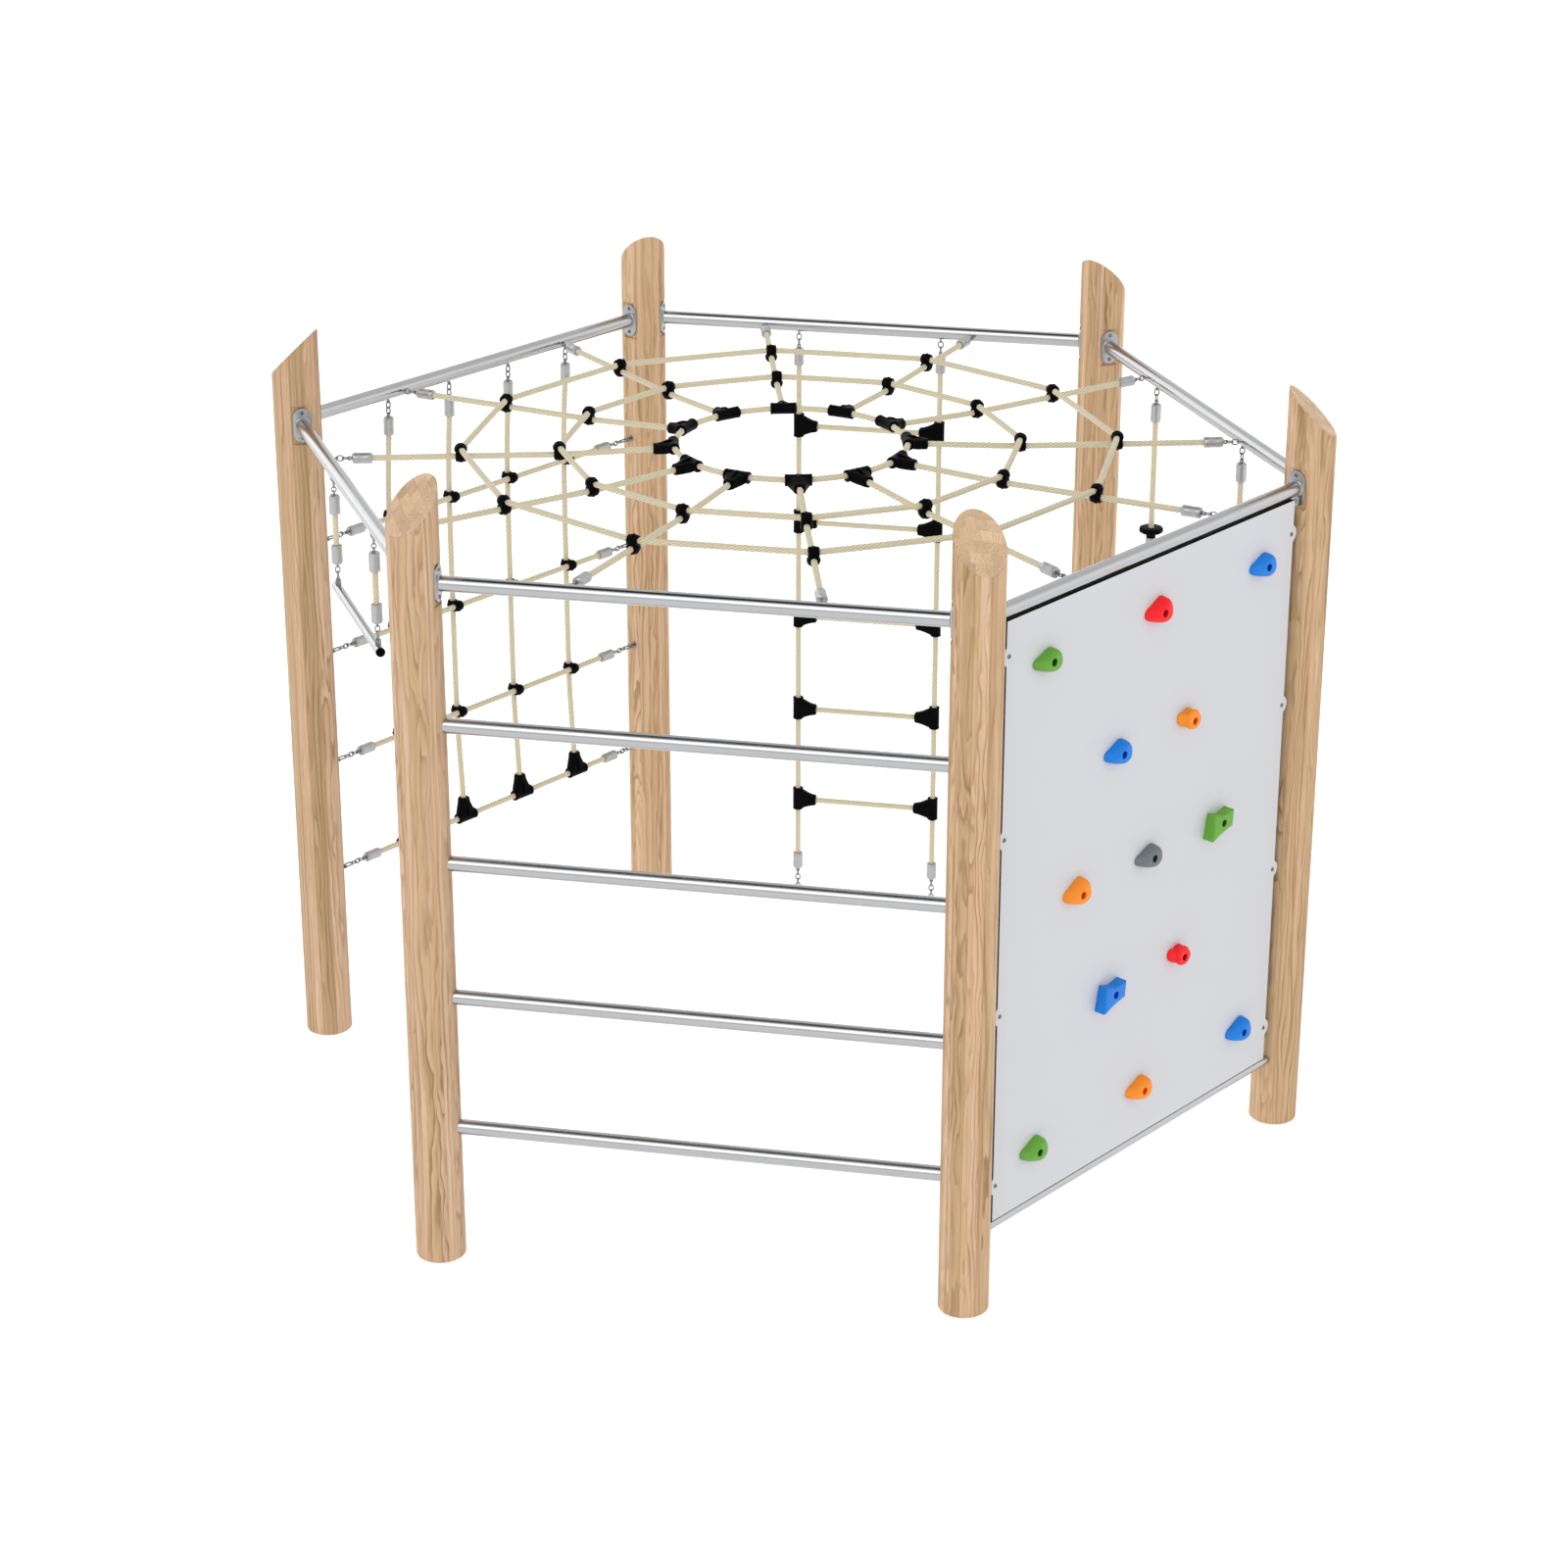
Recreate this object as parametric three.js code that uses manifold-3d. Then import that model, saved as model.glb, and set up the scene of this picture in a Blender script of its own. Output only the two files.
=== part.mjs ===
// Hexagonal climbing frame: six timber posts joined at the top by steel rails, a horizontal rope web
// between the rails, and a different climbing filling on each side.
// Units are millimetres, +Z is up, +Y points to the rope-ladder side, and the origin lies on the ground
// at the centre of the hexagon.
import * as THREE from 'three';
import { mergeVertices } from 'three/addons/utils/BufferGeometryUtils.js';
import Module from 'manifold-3d';

const wasm = await Module();
wasm.setup();

// ---------------------------------------------------------------- driving dimensions
const HEX_R = 1491;            // circle through the post axes; also the side length between post axes
const POST_R = 70;             // round timber post
const POST_PEAK = 2290;        // highest point of the sloping post top, on its inner side
const POST_LOW = 2150;         // lowest point of the sloping top, on its outer side
const RAIL_Z = 2010;           // axis height of the top rails
const TUBE_R = 21.2;           // steel tube of the rails and ladder bars
const TUBE_BORE = 18.6;
const BAR_STEP = 401;          // spacing of the ladder bars below the top rail
const BAR_COUNT = 4;
const BAR_INSET = 25;          // how far a ladder bar enters each post
const FLAT_AT = 62;            // milled flat under a flange, measured from the post axis
const FLANGE_W = 62, FLANGE_H = 110;
const GAP = 0.3;               // clearance kept between touching pieces

const ROPE_R = 8;              // climbing rope
const ROPE_SIDES = 6;
const ROPE_SEP = 21;           // distance between the axes of two crossing ropes
const FERRULE_R = 13, FERRULE_L = 58;
const CONNECTOR_R = 14, CONNECTOR_L = 31;
const RING_INNER = 339, RING_MIDDLE = 668, RING_OUTER = 951;   // web rings, measured at the connectors
const SPOKE_START = 396;       // inner end of a spoke, at its T connector
const SPOKE_FERRULE = 1205;    // where the spoke enters its end ferrule

const NET_X = [-382.5, -127.5, 127.5, 382.5];    // upright ropes of the side net
const NET_Z = [1612, 1250, 890];                 // net rows with crossing connectors
const NET_Z_LOW = 529;                           // lowest row, with T connectors
const NET_ROW_Y = -2, NET_UPRIGHT_Y = 19;        // depth of rows and uprights from the rail plane

const LADDER_X = 231;          // half the distance between the rope-ladder stringers
const RUNG_TOP = 1674, RUNG_STEP = 330, RUNG_COUNT = 5;

const DISC_X = 308;            // half the distance between the two disc ropes
const DISC_R = 34.5, DISC_T = 11;
const DISC_Z_A = [1526, 966, 406];
const DISC_Z_B = [1246, 686];

const TRAPEZE_X = 257;         // half the distance between the trapeze ropes
const SWING_Z = 1977;          // upper pivot of the trapeze
const PIN_Z = 1672;            // pin between each shackle and the trapeze bar
const TRAPEZE_Z = 1643;        // axis of the trapeze bar
const TRAPEZE_R = 13.5, TRAPEZE_HALF = 281;

const PANEL_FRONT = 19.5, PANEL_T = 18;          // climbing panel, from the rail plane outwards
const PANEL_TOP = 1987, PANEL_BOTTOM = 231;
const PANEL_HALF = 650;
const EAR_X = 640, EAR_R = 26, EAR_FILLET = 10;
const EAR_Z = [338.5, 855, 1371.5, 1888];
const LOWER_RAIL_Z = 217, LOWER_RAIL_Y = 10, LOWER_RAIL_R = 13.4;
const HOLD_DEPTH = 46;

const AP = HEX_R * Math.cos(Math.PI / 6);        // distance from the centre to a rail axis
const HALF = HEX_R / 2;                          // half a side, to a post axis

// ---------------------------------------------------------------- materials
const mat = (color, roughness, metalness) => new THREE.MeshStandardMaterial({ color, roughness, metalness });
const wood = () => mat(0xc9a478, 0.75, 0);
const steel = () => mat(0xb9bbbc, 0.28, 1);
const ropeMat = () => mat(0xd6cba6, 0.9, 0);
const plastic = () => mat(0x0c0c0d, 0.55, 0);
const panelMat = () => mat(0xd6d8dc, 0.6, 0);
const HOLD_COLOURS = { green: 0x60ac40, red: 0xee2430, blue: 0x1e78de, orange: 0xfa8e34, grey: 0x6e757a };

// ---------------------------------------------------------------- solid helpers
function solid(geometry) {
  const g = geometry.clone();
  for (const k of Object.keys(g.attributes)) if (k !== 'position') g.deleteAttribute(k);
  const m = mergeVertices(g, 1e-3);
  const p = m.attributes.position.array;
  const t = new Uint32Array(m.index.array);
  let six = 0;
  for (let i = 0; i < t.length; i += 3) {
    const a = t[i] * 3, b = t[i + 1] * 3, c = t[i + 2] * 3;
    six += p[a] * (p[b + 1] * p[c + 2] - p[b + 2] * p[c + 1])
      - p[a + 1] * (p[b] * p[c + 2] - p[b + 2] * p[c])
      + p[a + 2] * (p[b] * p[c + 1] - p[b + 1] * p[c]);
  }
  if (six < 0) for (let i = 0; i < t.length; i += 3) [t[i + 1], t[i + 2]] = [t[i + 2], t[i + 1]];
  return new wasm.Manifold(new wasm.Mesh({ numProp: 3, vertProperties: new Float32Array(p), triVerts: t }));
}
const union = (...list) => list.flat().reduce((a, b) => a.add(b));
const cut = (body, ...tools) => tools.flat().reduce((a, b) => a.subtract(b), body);

function mesh(name, body, material) {
  const m = body.getMesh(), n = m.numProp;
  const v = new Float32Array((m.vertProperties.length / n) * 3);
  for (let i = 0; i < v.length / 3; i++) v.set(m.vertProperties.subarray(i * n, i * n + 3), i * 3);
  const g = new THREE.BufferGeometry();
  g.setAttribute('position', new THREE.BufferAttribute(v, 3));
  g.setIndex(new THREE.BufferAttribute(new Uint32Array(m.triVerts), 1));
  const flat = g.toNonIndexed();
  flat.computeVertexNormals();
  const out = new THREE.Mesh(flat, material);
  out.name = name;
  return out;
}

const V = (x, y, z) => new THREE.Vector3(x, y, z);
// A matrix that carries +Z onto the direction from a to b, with its origin at a; roll is the side +X leans to.
function along(a, b, roll = V(0, 0, 1)) {
  const z = b.clone().sub(a).normalize();
  let x = roll.clone().sub(z.clone().multiplyScalar(roll.dot(z)));
  if (x.length() < 1e-3) x = V(1, 0, 0).sub(z.clone().multiplyScalar(z.x));
  x.normalize();
  const y = z.clone().cross(x);
  return new THREE.Matrix4().makeBasis(x, y, z).setPosition(a);
}
// Round bar between two points.
function rod(a, b, r, seg = 8, r2 = r) {
  const len = a.distanceTo(b);
  const g = new THREE.CylinderGeometry(r2, r, len, seg, 1);
  g.rotateX(Math.PI / 2).translate(0, 0, len / 2);
  return solid(g.applyMatrix4(along(a, b)));
}
function box(x0, x1, y0, y1, z0, z1) {
  const g = new THREE.BoxGeometry(x1 - x0, y1 - y0, z1 - z0);
  g.translate((x0 + x1) / 2, (y0 + y1) / 2, (z0 + z1) / 2);
  return solid(g);
}
// A shape drawn in XY and pushed along +Z, then placed.
function slab(shape, depth, matrix, curveSegments = 6) {
  const g = new THREE.ExtrudeGeometry(shape, { depth, bevelEnabled: false, curveSegments });
  if (matrix) g.applyMatrix4(matrix);
  return solid(g);
}
// An outline from its corners, always anticlockwise.
function polygon(points) {
  const pts = points.map(([x, y]) => new THREE.Vector2(x, y));
  if (THREE.ShapeUtils.isClockWise(pts)) pts.reverse();
  return new THREE.Shape(pts);
}
// A bent rope: straight stretches with a ball at every bend.
function ropePath(points, r = ROPE_R, seg = ROPE_SIDES) {
  const parts = [];
  for (let i = 0; i + 1 < points.length; i++) parts.push(rod(points[i], points[i + 1], r, seg));
  for (let i = 1; i + 1 < points.length; i++) {
    const s = new THREE.SphereGeometry(r, seg, 3);
    s.rotateX(Math.PI / 2).applyMatrix4(along(points[i], points[i + 1]));
    parts.push(solid(s));
  }
  return union(parts);
}

const at = (rx, ry, rz, x, y, z) =>
  new THREE.Matrix4().makeRotationFromEuler(new THREE.Euler(rx, ry, rz)).setPosition(x, y, z);

// A long flat chain link lying in the plane of `roll`, from a to b.
function link(a, b, roll, width = 18, wire = 5) {
  const len = a.distanceTo(b), w = width / 2, i = w - wire;
  const s = polygon([[-w, 0], [w, 0], [w, len], [-w, len]]);
  s.holes.push(new THREE.Path([[-i, wire], [-i, len - wire], [i, len - wire], [i, wire]].map(([x, y]) => new THREE.Vector2(x, y))));
  const g = new THREE.ExtrudeGeometry(s, { depth: wire, bevelEnabled: false });
  g.translate(0, 0, -wire / 2).rotateX(Math.PI / 2);      // length now runs along +Z, width along X
  return solid(g.applyMatrix4(along(a, b, roll)));
}

// The fitting at a rope's end: ferrule, long link and a small foot that stands on the surface at `b`.
// a is where the rope enters the ferrule; normal points out of the surface the foot stands on.
function ropeEnd(a, b, normal, roll, footR = 8) {
  const dir = b.clone().sub(a).normalize();
  const f = a.clone().addScaledVector(dir, FERRULE_L);
  const footTop = b.clone().addScaledVector(normal, GAP + 5);
  return [
    rod(a, f, FERRULE_R, 8),
    link(f.clone().addScaledVector(dir, -4), footTop.clone().addScaledVector(dir, 2), roll),
    rod(b.clone().addScaledVector(normal, GAP), footTop, footR, 6),
  ];
}

// Crossing connector: a clamp body around a rope that reaches to the crossing rope's surface.
// centre is on the rope, dir along the rope, towards points to the crossing rope.
function crossConnector(centre, dir, towards) {
  const r = CONNECTOR_R, h = ROPE_SEP - ROPE_R - GAP;
  const a = centre.clone().addScaledVector(dir, -CONNECTOR_L / 2);
  return slab(polygon([[h, -9], [h, 9], [-2, r], [-r, 6], [-r, -6], [-2, -r]]), CONNECTOR_L, along(a, centre, towards));
}

// T connector: its bar clamps the through rope, its stem takes the end of the joining rope.
// Local frame: bar along X through the origin, stem towards +Y, the joining rope ROPE_SEP below (-Z).
const T_REACH = 56.5;
function tConnector(matrix) {
  const plan = polygon([[-34, -14], [34, -14], [34, 10], [16, T_REACH], [-16, T_REACH], [-34, 10]]);
  const top = slab(plan, 80, at(0, 0, 0, 0, 0, -50));
  const side = polygon([[-14, 14], [14, 14], [T_REACH, -8], [T_REACH, -35], [24, -35], [-14, -14]]);
  const g = new THREE.ExtrudeGeometry(side, { depth: 90, bevelEnabled: false });
  g.translate(0, 0, -45).applyMatrix4(new THREE.Matrix4().makeBasis(V(0, 1, 0), V(0, 0, 1), V(1, 0, 0)));
  const body = top.intersect(solid(g));
  return body.transform(matrix.elements);
}

// ---------------------------------------------------------------- frames
const group = new THREE.Group();
const POSTS = { right: 0, back_right: 60, back_left: 120, left: 180, front_left: 240, front_right: 300 };
const SIDES = { back: 90, back_right: 30, front_right: -30, front: -90, front_left: 210, back_left: 150 };
const rad = (deg) => (deg * Math.PI) / 180;
const sideGroups = {};
for (const [name, deg] of Object.entries(SIDES)) {       // side frame: +Y outwards, +X clockwise seen from above
  const g = new THREE.Group();
  g.rotation.z = rad(deg - 90);
  group.add(g);
  sideGroups[name] = g;
}
const sideMatrix = (name) => new THREE.Matrix4().makeRotationZ(rad(SIDES[name] - 90));
const postMatrix = (name) => new THREE.Matrix4().makeRotationZ(rad(POSTS[name]))
  .multiply(new THREE.Matrix4().makeTranslation(HEX_R, 0, 0));
// A cutter given in a side's frame, carried into a post's frame.
function inPost(post, side, body) {
  return body.transform(postMatrix(post).invert().multiply(sideMatrix(side)).elements);
}

// ---------------------------------------------------------------- posts
const slotDepth = 682;
for (const [name, deg] of Object.entries(POSTS)) {
  const profile = [[0, 0], [65, 0], [POST_R, 5], [POST_R, POST_PEAK + 5], [0, POST_PEAK + 5]]
    .map(([x, y]) => new THREE.Vector2(x, y));
  const turned = new THREE.LatheGeometry(profile, 20);
  turned.rotateX(Math.PI / 2);
  let body = solid(turned);
  const slope = polygon([[-90, POST_PEAK + 20], [90, POST_LOW - 20], [90, POST_PEAK + 90], [-90, POST_PEAK + 90]]);
  body = cut(body, slab(slope, 200, new THREE.Matrix4().makeBasis(V(1, 0, 0), V(0, 0, 1), V(0, -1, 0)).setPosition(0, 100, 0)));
  for (const s of [-1, 1]) {
    const flat = new THREE.BoxGeometry(40, 66, 118);
    flat.translate(FLAT_AT + 20, 0, RAIL_Z).rotateZ(s * rad(120));
    body = cut(body, solid(flat));
  }
  if (name === 'front_left' || name === 'front_right') {
    for (let i = 1; i <= BAR_COUNT; i++) {
      const z = RAIL_Z - i * BAR_STEP;
      body = cut(body, inPost(name, 'front', rod(V(-HALF + 43.5, AP, z), V(HALF - 43.5, AP, z), TUBE_R + 1, 12)));
    }
  }
  if (name === 'right' || name === 'front_right') {
    body = cut(body,
      inPost(name, 'front_right', rod(V(-692, AP + LOWER_RAIL_Y, LOWER_RAIL_Z), V(692, AP + LOWER_RAIL_Y, LOWER_RAIL_Z), LOWER_RAIL_R + 0.4, 12)),
      inPost(name, 'front_right', box(-slotDepth - 0.6, slotDepth + 0.6, AP - 4.4, AP + 1.5, 289.4, 1940.6)));
  }
  const g = new THREE.Group();
  g.rotation.z = rad(deg);
  const m = mesh('post_' + name, body, wood());
  m.position.x = HEX_R;
  g.add(m);
  group.add(g);
}

// ---------------------------------------------------------------- top rails with welded oval flanges
const flangeShape = (() => {
  const w = FLANGE_W / 2, h = FLANGE_H / 2 - w, pts = [];
  for (let i = 0; i <= 5; i++) pts.push([w * Math.cos((i * Math.PI) / 5), h + w * Math.sin((i * Math.PI) / 5)]);
  for (let i = 0; i <= 5; i++) pts.push([-w * Math.cos((i * Math.PI) / 5), -h - w * Math.sin((i * Math.PI) / 5)]);
  return polygon(pts);
})();
function topRail(side) {
  const x1 = HALF - FLAT_AT - GAP, x0 = HALF - POST_R;
  const parts = [rod(V(-x1, AP, RAIL_Z), V(x1, AP, RAIL_Z), TUBE_R, 12)];
  for (const s of [-1, 1]) {
    const a = V(s * x0, AP, RAIL_Z), b = V(s * x1, AP, RAIL_Z);
    parts.push(slab(flangeShape, x1 - x0, along(a, b, V(0, 1, 0)), 5));
    for (const dz of [-41, 41])
      parts.push(rod(V(s * (x0 + 1), AP, RAIL_Z + dz), V(s * (x0 - 3.5), AP, RAIL_Z + dz), 6, 6));
  }
  let body = union(parts);
  if (side === 'front_left') {
    for (const x of [-TRAPEZE_X, TRAPEZE_X]) {      // lugs that carry the trapeze links
      const lug = polygon([[-9, 14], [9, 14], [9, -4], [4, -9], [-4, -9], [-9, -4]]);
      lug.holes.push(new THREE.Path([0, 1, 2, 3, 4, 5].map((k) =>
        new THREE.Vector2(4.5 * Math.cos(-k * Math.PI / 3), 4.5 * Math.sin(-k * Math.PI / 3)))));
      body = body.add(slab(lug, 5, new THREE.Matrix4().makeBasis(V(0, 1, 0), V(0, 0, 1), V(1, 0, 0)).setPosition(x - 2.5, AP, SWING_Z)));
    }
  }
  body = cut(body, rod(V(-x1 - 5, AP, RAIL_Z), V(x1 + 5, AP, RAIL_Z), TUBE_BORE, 8));
  sideGroups[side].add(mesh('rail_' + side, body, steel()));
}
Object.keys(SIDES).forEach(topRail);

// ---------------------------------------------------------------- front: ladder of four bars
for (let i = 1; i <= BAR_COUNT; i++) {
  const x = HALF - POST_R + BAR_INSET;
  const bar = cut(rod(V(-x, 0, 0), V(x, 0, 0), TUBE_R, 12), rod(V(-x - 5, 0, 0), V(x + 5, 0, 0), TUBE_BORE, 8));
  const m = mesh('ladder_bar_' + i, bar, steel());
  m.position.set(0, AP, RAIL_Z - i * BAR_STEP);
  sideGroups.front.add(m);
}

// ---------------------------------------------------------------- front right: climbing panel
{
  const side = sideGroups.front_right;
  const edge = [];
  const reach = Math.sqrt((EAR_R + EAR_FILLET) ** 2 - (PANEL_HALF - EAR_X + EAR_FILLET) ** 2);
  for (const z of EAR_Z) {
    edge.push([PANEL_HALF, z - reach]);
    const joinA = Math.atan2(reach, PANEL_HALF + EAR_FILLET - EAR_X);
    edge.push([PANEL_HALF + EAR_FILLET * (1 - Math.cos(joinA * 0.5)), z - reach + EAR_FILLET * Math.sin(joinA * 0.5)]);
    for (let i = 0; i <= 4; i++) {
      const a = -joinA + (2 * joinA * i) / 4;
      edge.push([EAR_X + EAR_R * Math.cos(a), z + EAR_R * Math.sin(a)]);
    }
    edge.push([PANEL_HALF + EAR_FILLET * (1 - Math.cos(joinA * 0.5)), z + reach - EAR_FILLET * Math.sin(joinA * 0.5)]);
    edge.push([PANEL_HALF, z + reach]);
  }
  const right = [[PANEL_HALF, PANEL_BOTTOM], ...edge, [PANEL_HALF, PANEL_TOP]];
  const left = right.map(([x, z]) => [-x, z]).reverse();
  const outline = polygon([...right, ...left]);
  const stand = new THREE.Matrix4().makeBasis(V(1, 0, 0), V(0, 0, 1), V(0, -1, 0));   // XY to XZ, depth towards -Y
  let body = slab(outline, PANEL_T, stand.clone().setPosition(0, AP + PANEL_FRONT, 0));
  for (const s of [-1, 1]) for (const z of EAR_Z) {
    body = cut(body, rod(V(s * EAR_X, AP - 10, z), V(s * EAR_X, AP + 40, z), 6, 6));
  }
  side.add(mesh('climbing_panel', body, panelMat()));

  for (const [s, word] of [[1, 'left'], [-1, 'right']]) {
    const parts = [box(s > 0 ? 622 : -slotDepth, s > 0 ? slotDepth : -622, AP - 4, AP + PANEL_FRONT - PANEL_T - GAP, 290, 1940)];
    for (const z of EAR_Z) {
      parts.push(rod(V(s * EAR_X, AP - 1, z), V(s * EAR_X, AP + PANEL_FRONT - 1, z), 4.8, 6));
    }
    side.add(mesh('panel_strip_' + word, union(parts), steel()));
  }

  const lx = 691;
  const lower = cut(rod(V(-lx, 0, 0), V(lx, 0, 0), LOWER_RAIL_R, 12), rod(V(-lx - 5, 0, 0), V(lx + 5, 0, 0), LOWER_RAIL_R - 2.3, 6));
  const lowerMesh = mesh('panel_bottom_rail', lower, steel());
  lowerMesh.position.set(0, AP + LOWER_RAIL_Y, LOWER_RAIL_Z);
  side.add(lowerMesh);

  // Holds: the wide end carries the bolt; +1 across means towards the front-right post.
  const HOLDS = [
    [489, 1837, 'green', 'tear'], [0, 1837, 'red', 'tear'], [-489, 1837, 'blue', 'tear'],
    [-163, 1475, 'orange', 'knob'], [162, 1475, 'blue', 'tear'],
    [-330, 1113, 'green', 'wedge'], [0, 1114, 'grey', 'tear'], [326, 1114, 'orange', 'tear'],
    [-166, 752, 'red', 'knob'], [158, 752, 'blue', 'wedge'],
    [-490, 390, 'blue', 'tear'], [0, 390, 'orange', 'tear'], [485, 390, 'green', 'tear'],
  ];
  const outlines = {
    tear: [[-38, 2], [-32, 26], [-10, 39], [20, 35], [46, 21], [70, 2], [72, -18], [48, -28], [8, -32], [-28, -22]],
    knob: [[-34, 2], [-27, 22], [-6, 32], [20, 28], [46, 12], [48, -8], [24, -24], [-8, -27], [-27, -17]],
    wedge: [[-42, 12], [-28, 36], [0, 45], [28, 42], [62, 14], [72, -14], [60, -36], [36, -44], [-10, -30], [-34, -20]],
  };
  const DEPTH = { tear: HOLD_DEPTH, knob: 38, wedge: HOLD_DEPTH };
  HOLDS.forEach(([x, z, colour, kind], i) => {
    const depth = DEPTH[kind], bevel = kind === 'knob' ? 17 : 20;
    const base = outlines[kind];
    const inner = base.map(([px, pz]) => {
      const len = Math.hypot(px - 12, pz - 4);
      const k = Math.max(0.1, (len - bevel) / len);
      return [12 + (px - 12) * k, 4 + (pz - 4) * k];
    });
    const g = new THREE.ExtrudeGeometry(polygon(inner), {
      depth: 0.01, bevelEnabled: true, bevelThickness: depth, bevelSize: bevel, bevelSegments: 3, curveSegments: 1,
    });
    g.applyMatrix4(stand);
    let hold = solid(g).translate([x, AP + PANEL_FRONT + GAP, z]);
    hold = hold.subtract(box(x - 200, x + 200, AP - 100, AP + PANEL_FRONT + GAP, z - 200, z + 200));
    const top = AP + PANEL_FRONT + depth;
    hold = hold.subtract(rod(V(x, top - 14, z), V(x, top + 10, z), 8.5, 6));
    side.add(mesh('hold_' + String(i + 1).padStart(2, '0') + '_' + colour, hold, mat(HOLD_COLOURS[colour], 0.45, 0)));
  });
}

// ---------------------------------------------------------------- rope web between the rails
for (let i = 0; i < 12; i++) {
  const deg = 15 + 30 * i;
  // The nearest side's outward direction decides how the foot stands on its rail.
  const sideDeg = 30 + 60 * Math.round((deg - 30) / 60);
  const lean = rad(sideDeg - deg);
  const surface = (AP - TUBE_R) / Math.cos(lean);
  const inward = V(-Math.cos(lean), -Math.sin(lean), 0);
  const parts = [
    rod(V(SPOKE_START, 0, 0), V(SPOKE_FERRULE + 5, 0, 0), ROPE_R, ROPE_SIDES),
    ...ropeEnd(V(SPOKE_FERRULE, 0, 0), V(surface, 0, 0), inward, V(0, 1, 0)),
  ];
  const m = mesh('web_spoke_' + String(i + 1).padStart(2, '0'), union(parts), ropeMat());
  m.position.z = RAIL_Z;
  m.rotation.z = rad(deg);
  group.add(m);
}
function ringRope(radius) {
  const profile = [];
  for (let k = 0; k <= ROPE_SIDES; k++) {
    const a = ((k % ROPE_SIDES) * 2 * Math.PI) / ROPE_SIDES;
    profile.push(new THREE.Vector2(radius + ROPE_R * Math.cos(a), ROPE_R * Math.sin(a)));
  }
  const g = new THREE.LatheGeometry(profile, 12, 0);
  g.rotateX(Math.PI / 2).rotateZ(rad(15));
  return solid(g);
}
{
  const z = RAIL_Z + ROPE_SEP;
  const rings = { inner: RING_INNER, middle: RING_MIDDLE, outer: RING_OUTER };
  for (const [word, radius] of Object.entries(rings)) {
    const parts = [ringRope(radius)];
    for (let i = 0; i < 12; i++) {
      const a = rad(15 + 30 * i), c = Math.cos(a), s = Math.sin(a);
      if (word === 'inner') {
        parts.push(tConnector(new THREE.Matrix4().makeBasis(V(s, -c, 0), V(c, s, 0), V(0, 0, 1)).setPosition(radius * c, radius * s, 0)));
      } else {
        parts.push(crossConnector(V(radius * c, radius * s, 0), V(-s, c, 0), V(0, 0, -1)));
      }
    }
    const m = mesh('web_ring_' + word, union(parts), word === 'inner' ? plastic() : ropeMat());
    m.position.z = z;
    group.add(m);
  }
}

// ---------------------------------------------------------------- back left: rope grid net
{
  const side = sideGroups.back_left;
  const y0 = AP, yr = AP + NET_ROW_Y, yu = AP + NET_UPRIGHT_Y, postX = HALF - POST_R;
  const foot = RAIL_Z - TUBE_R;
  const rowEnds = (y, z) => [-1, 1].flatMap((s) =>
    ropeEnd(V(s * 511, y, z), V(s * postX, y, z), V(-s, 0, 0), V(0, 1, 0)));
  NET_Z.forEach((z, i) => {
    const parts = [rod(V(-516, yr, z), V(516, yr, z), ROPE_R, ROPE_SIDES), ...rowEnds(yr, z)];
    for (const x of NET_X) parts.push(crossConnector(V(x, yr, z), V(1, 0, 0), V(0, 1, 0)));
    side.add(mesh('net_row_' + (i + 1), union(parts), ropeMat()));
  });
  // Uprights with the lowest row: one piece, because every upright ends in a T connector on that row.
  const lowY = y0 - 8;
  const parts = [rod(V(-516, lowY, NET_Z_LOW), V(516, lowY, NET_Z_LOW), ROPE_R, ROPE_SIDES)];
  for (const s of [-1, 1]) {
    parts.push(...ropeEnd(V(s * 511, lowY, NET_Z_LOW), V(s * postX, lowY, NET_Z_LOW), V(-s, 0, 0), V(0, 1, 0)));
  }
  for (const x of NET_X) {
    parts.push(
      ropePath([V(x, y0 + 4, 1880), V(x, yu, NET_Z[0] + 20), V(x, yu, NET_Z[2] - 20), V(x, lowY + ROPE_SEP, NET_Z_LOW + 52)]),
      ...ropeEnd(V(x, y0 + 4, 1875), V(x, y0, foot), V(0, 0, -1), V(1, 0, 0)));
    parts.push(tConnector(new THREE.Matrix4().makeBasis(V(1, 0, 0), V(0, 0, 1), V(0, -1, 0)).setPosition(x, lowY, NET_Z_LOW)));
  }
  side.add(mesh('net_uprights', union(parts), ropeMat()));
}

// ---------------------------------------------------------------- back: rope ladder, tied down at the ground
{
  const side = sideGroups.back;
  const parts = [];
  for (const s of [-1, 1]) {
    const x = s * LADDER_X;
    parts.push(rod(V(x, AP, 150), V(x, AP, 1880), ROPE_R, ROPE_SIDES),
      ...ropeEnd(V(x, AP, 1876), V(x, AP, RAIL_Z - TUBE_R), V(0, 0, -1), V(1, 0, 0)),
      rod(V(x, AP, 97), V(x, AP, 155), FERRULE_R, 8),
      link(V(x, AP, 100), V(x, AP, 3), V(1, 0, 0)),
      rod(V(x, AP, 0), V(x, AP, 5), 24, 6));
    for (let i = 0; i < RUNG_COUNT; i++) {
      const z = RUNG_TOP - i * RUNG_STEP;
      // bar up the stringer, stem towards the middle, rung ROPE_SEP towards the inside of the frame
      parts.push(tConnector(new THREE.Matrix4().makeBasis(V(0, 0, s), V(-s, 0, 0), V(0, 1, 0)).setPosition(x, AP, z)));
    }
  }
  for (let i = 0; i < RUNG_COUNT; i++) {
    const z = RUNG_TOP - i * RUNG_STEP;
    parts.push(rod(V(-LADDER_X + 50, AP - ROPE_SEP, z), V(LADDER_X - 50, AP - ROPE_SEP, z), ROPE_R, ROPE_SIDES));
  }
  side.add(mesh('rope_ladder', union(parts), ropeMat()));
}

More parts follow.
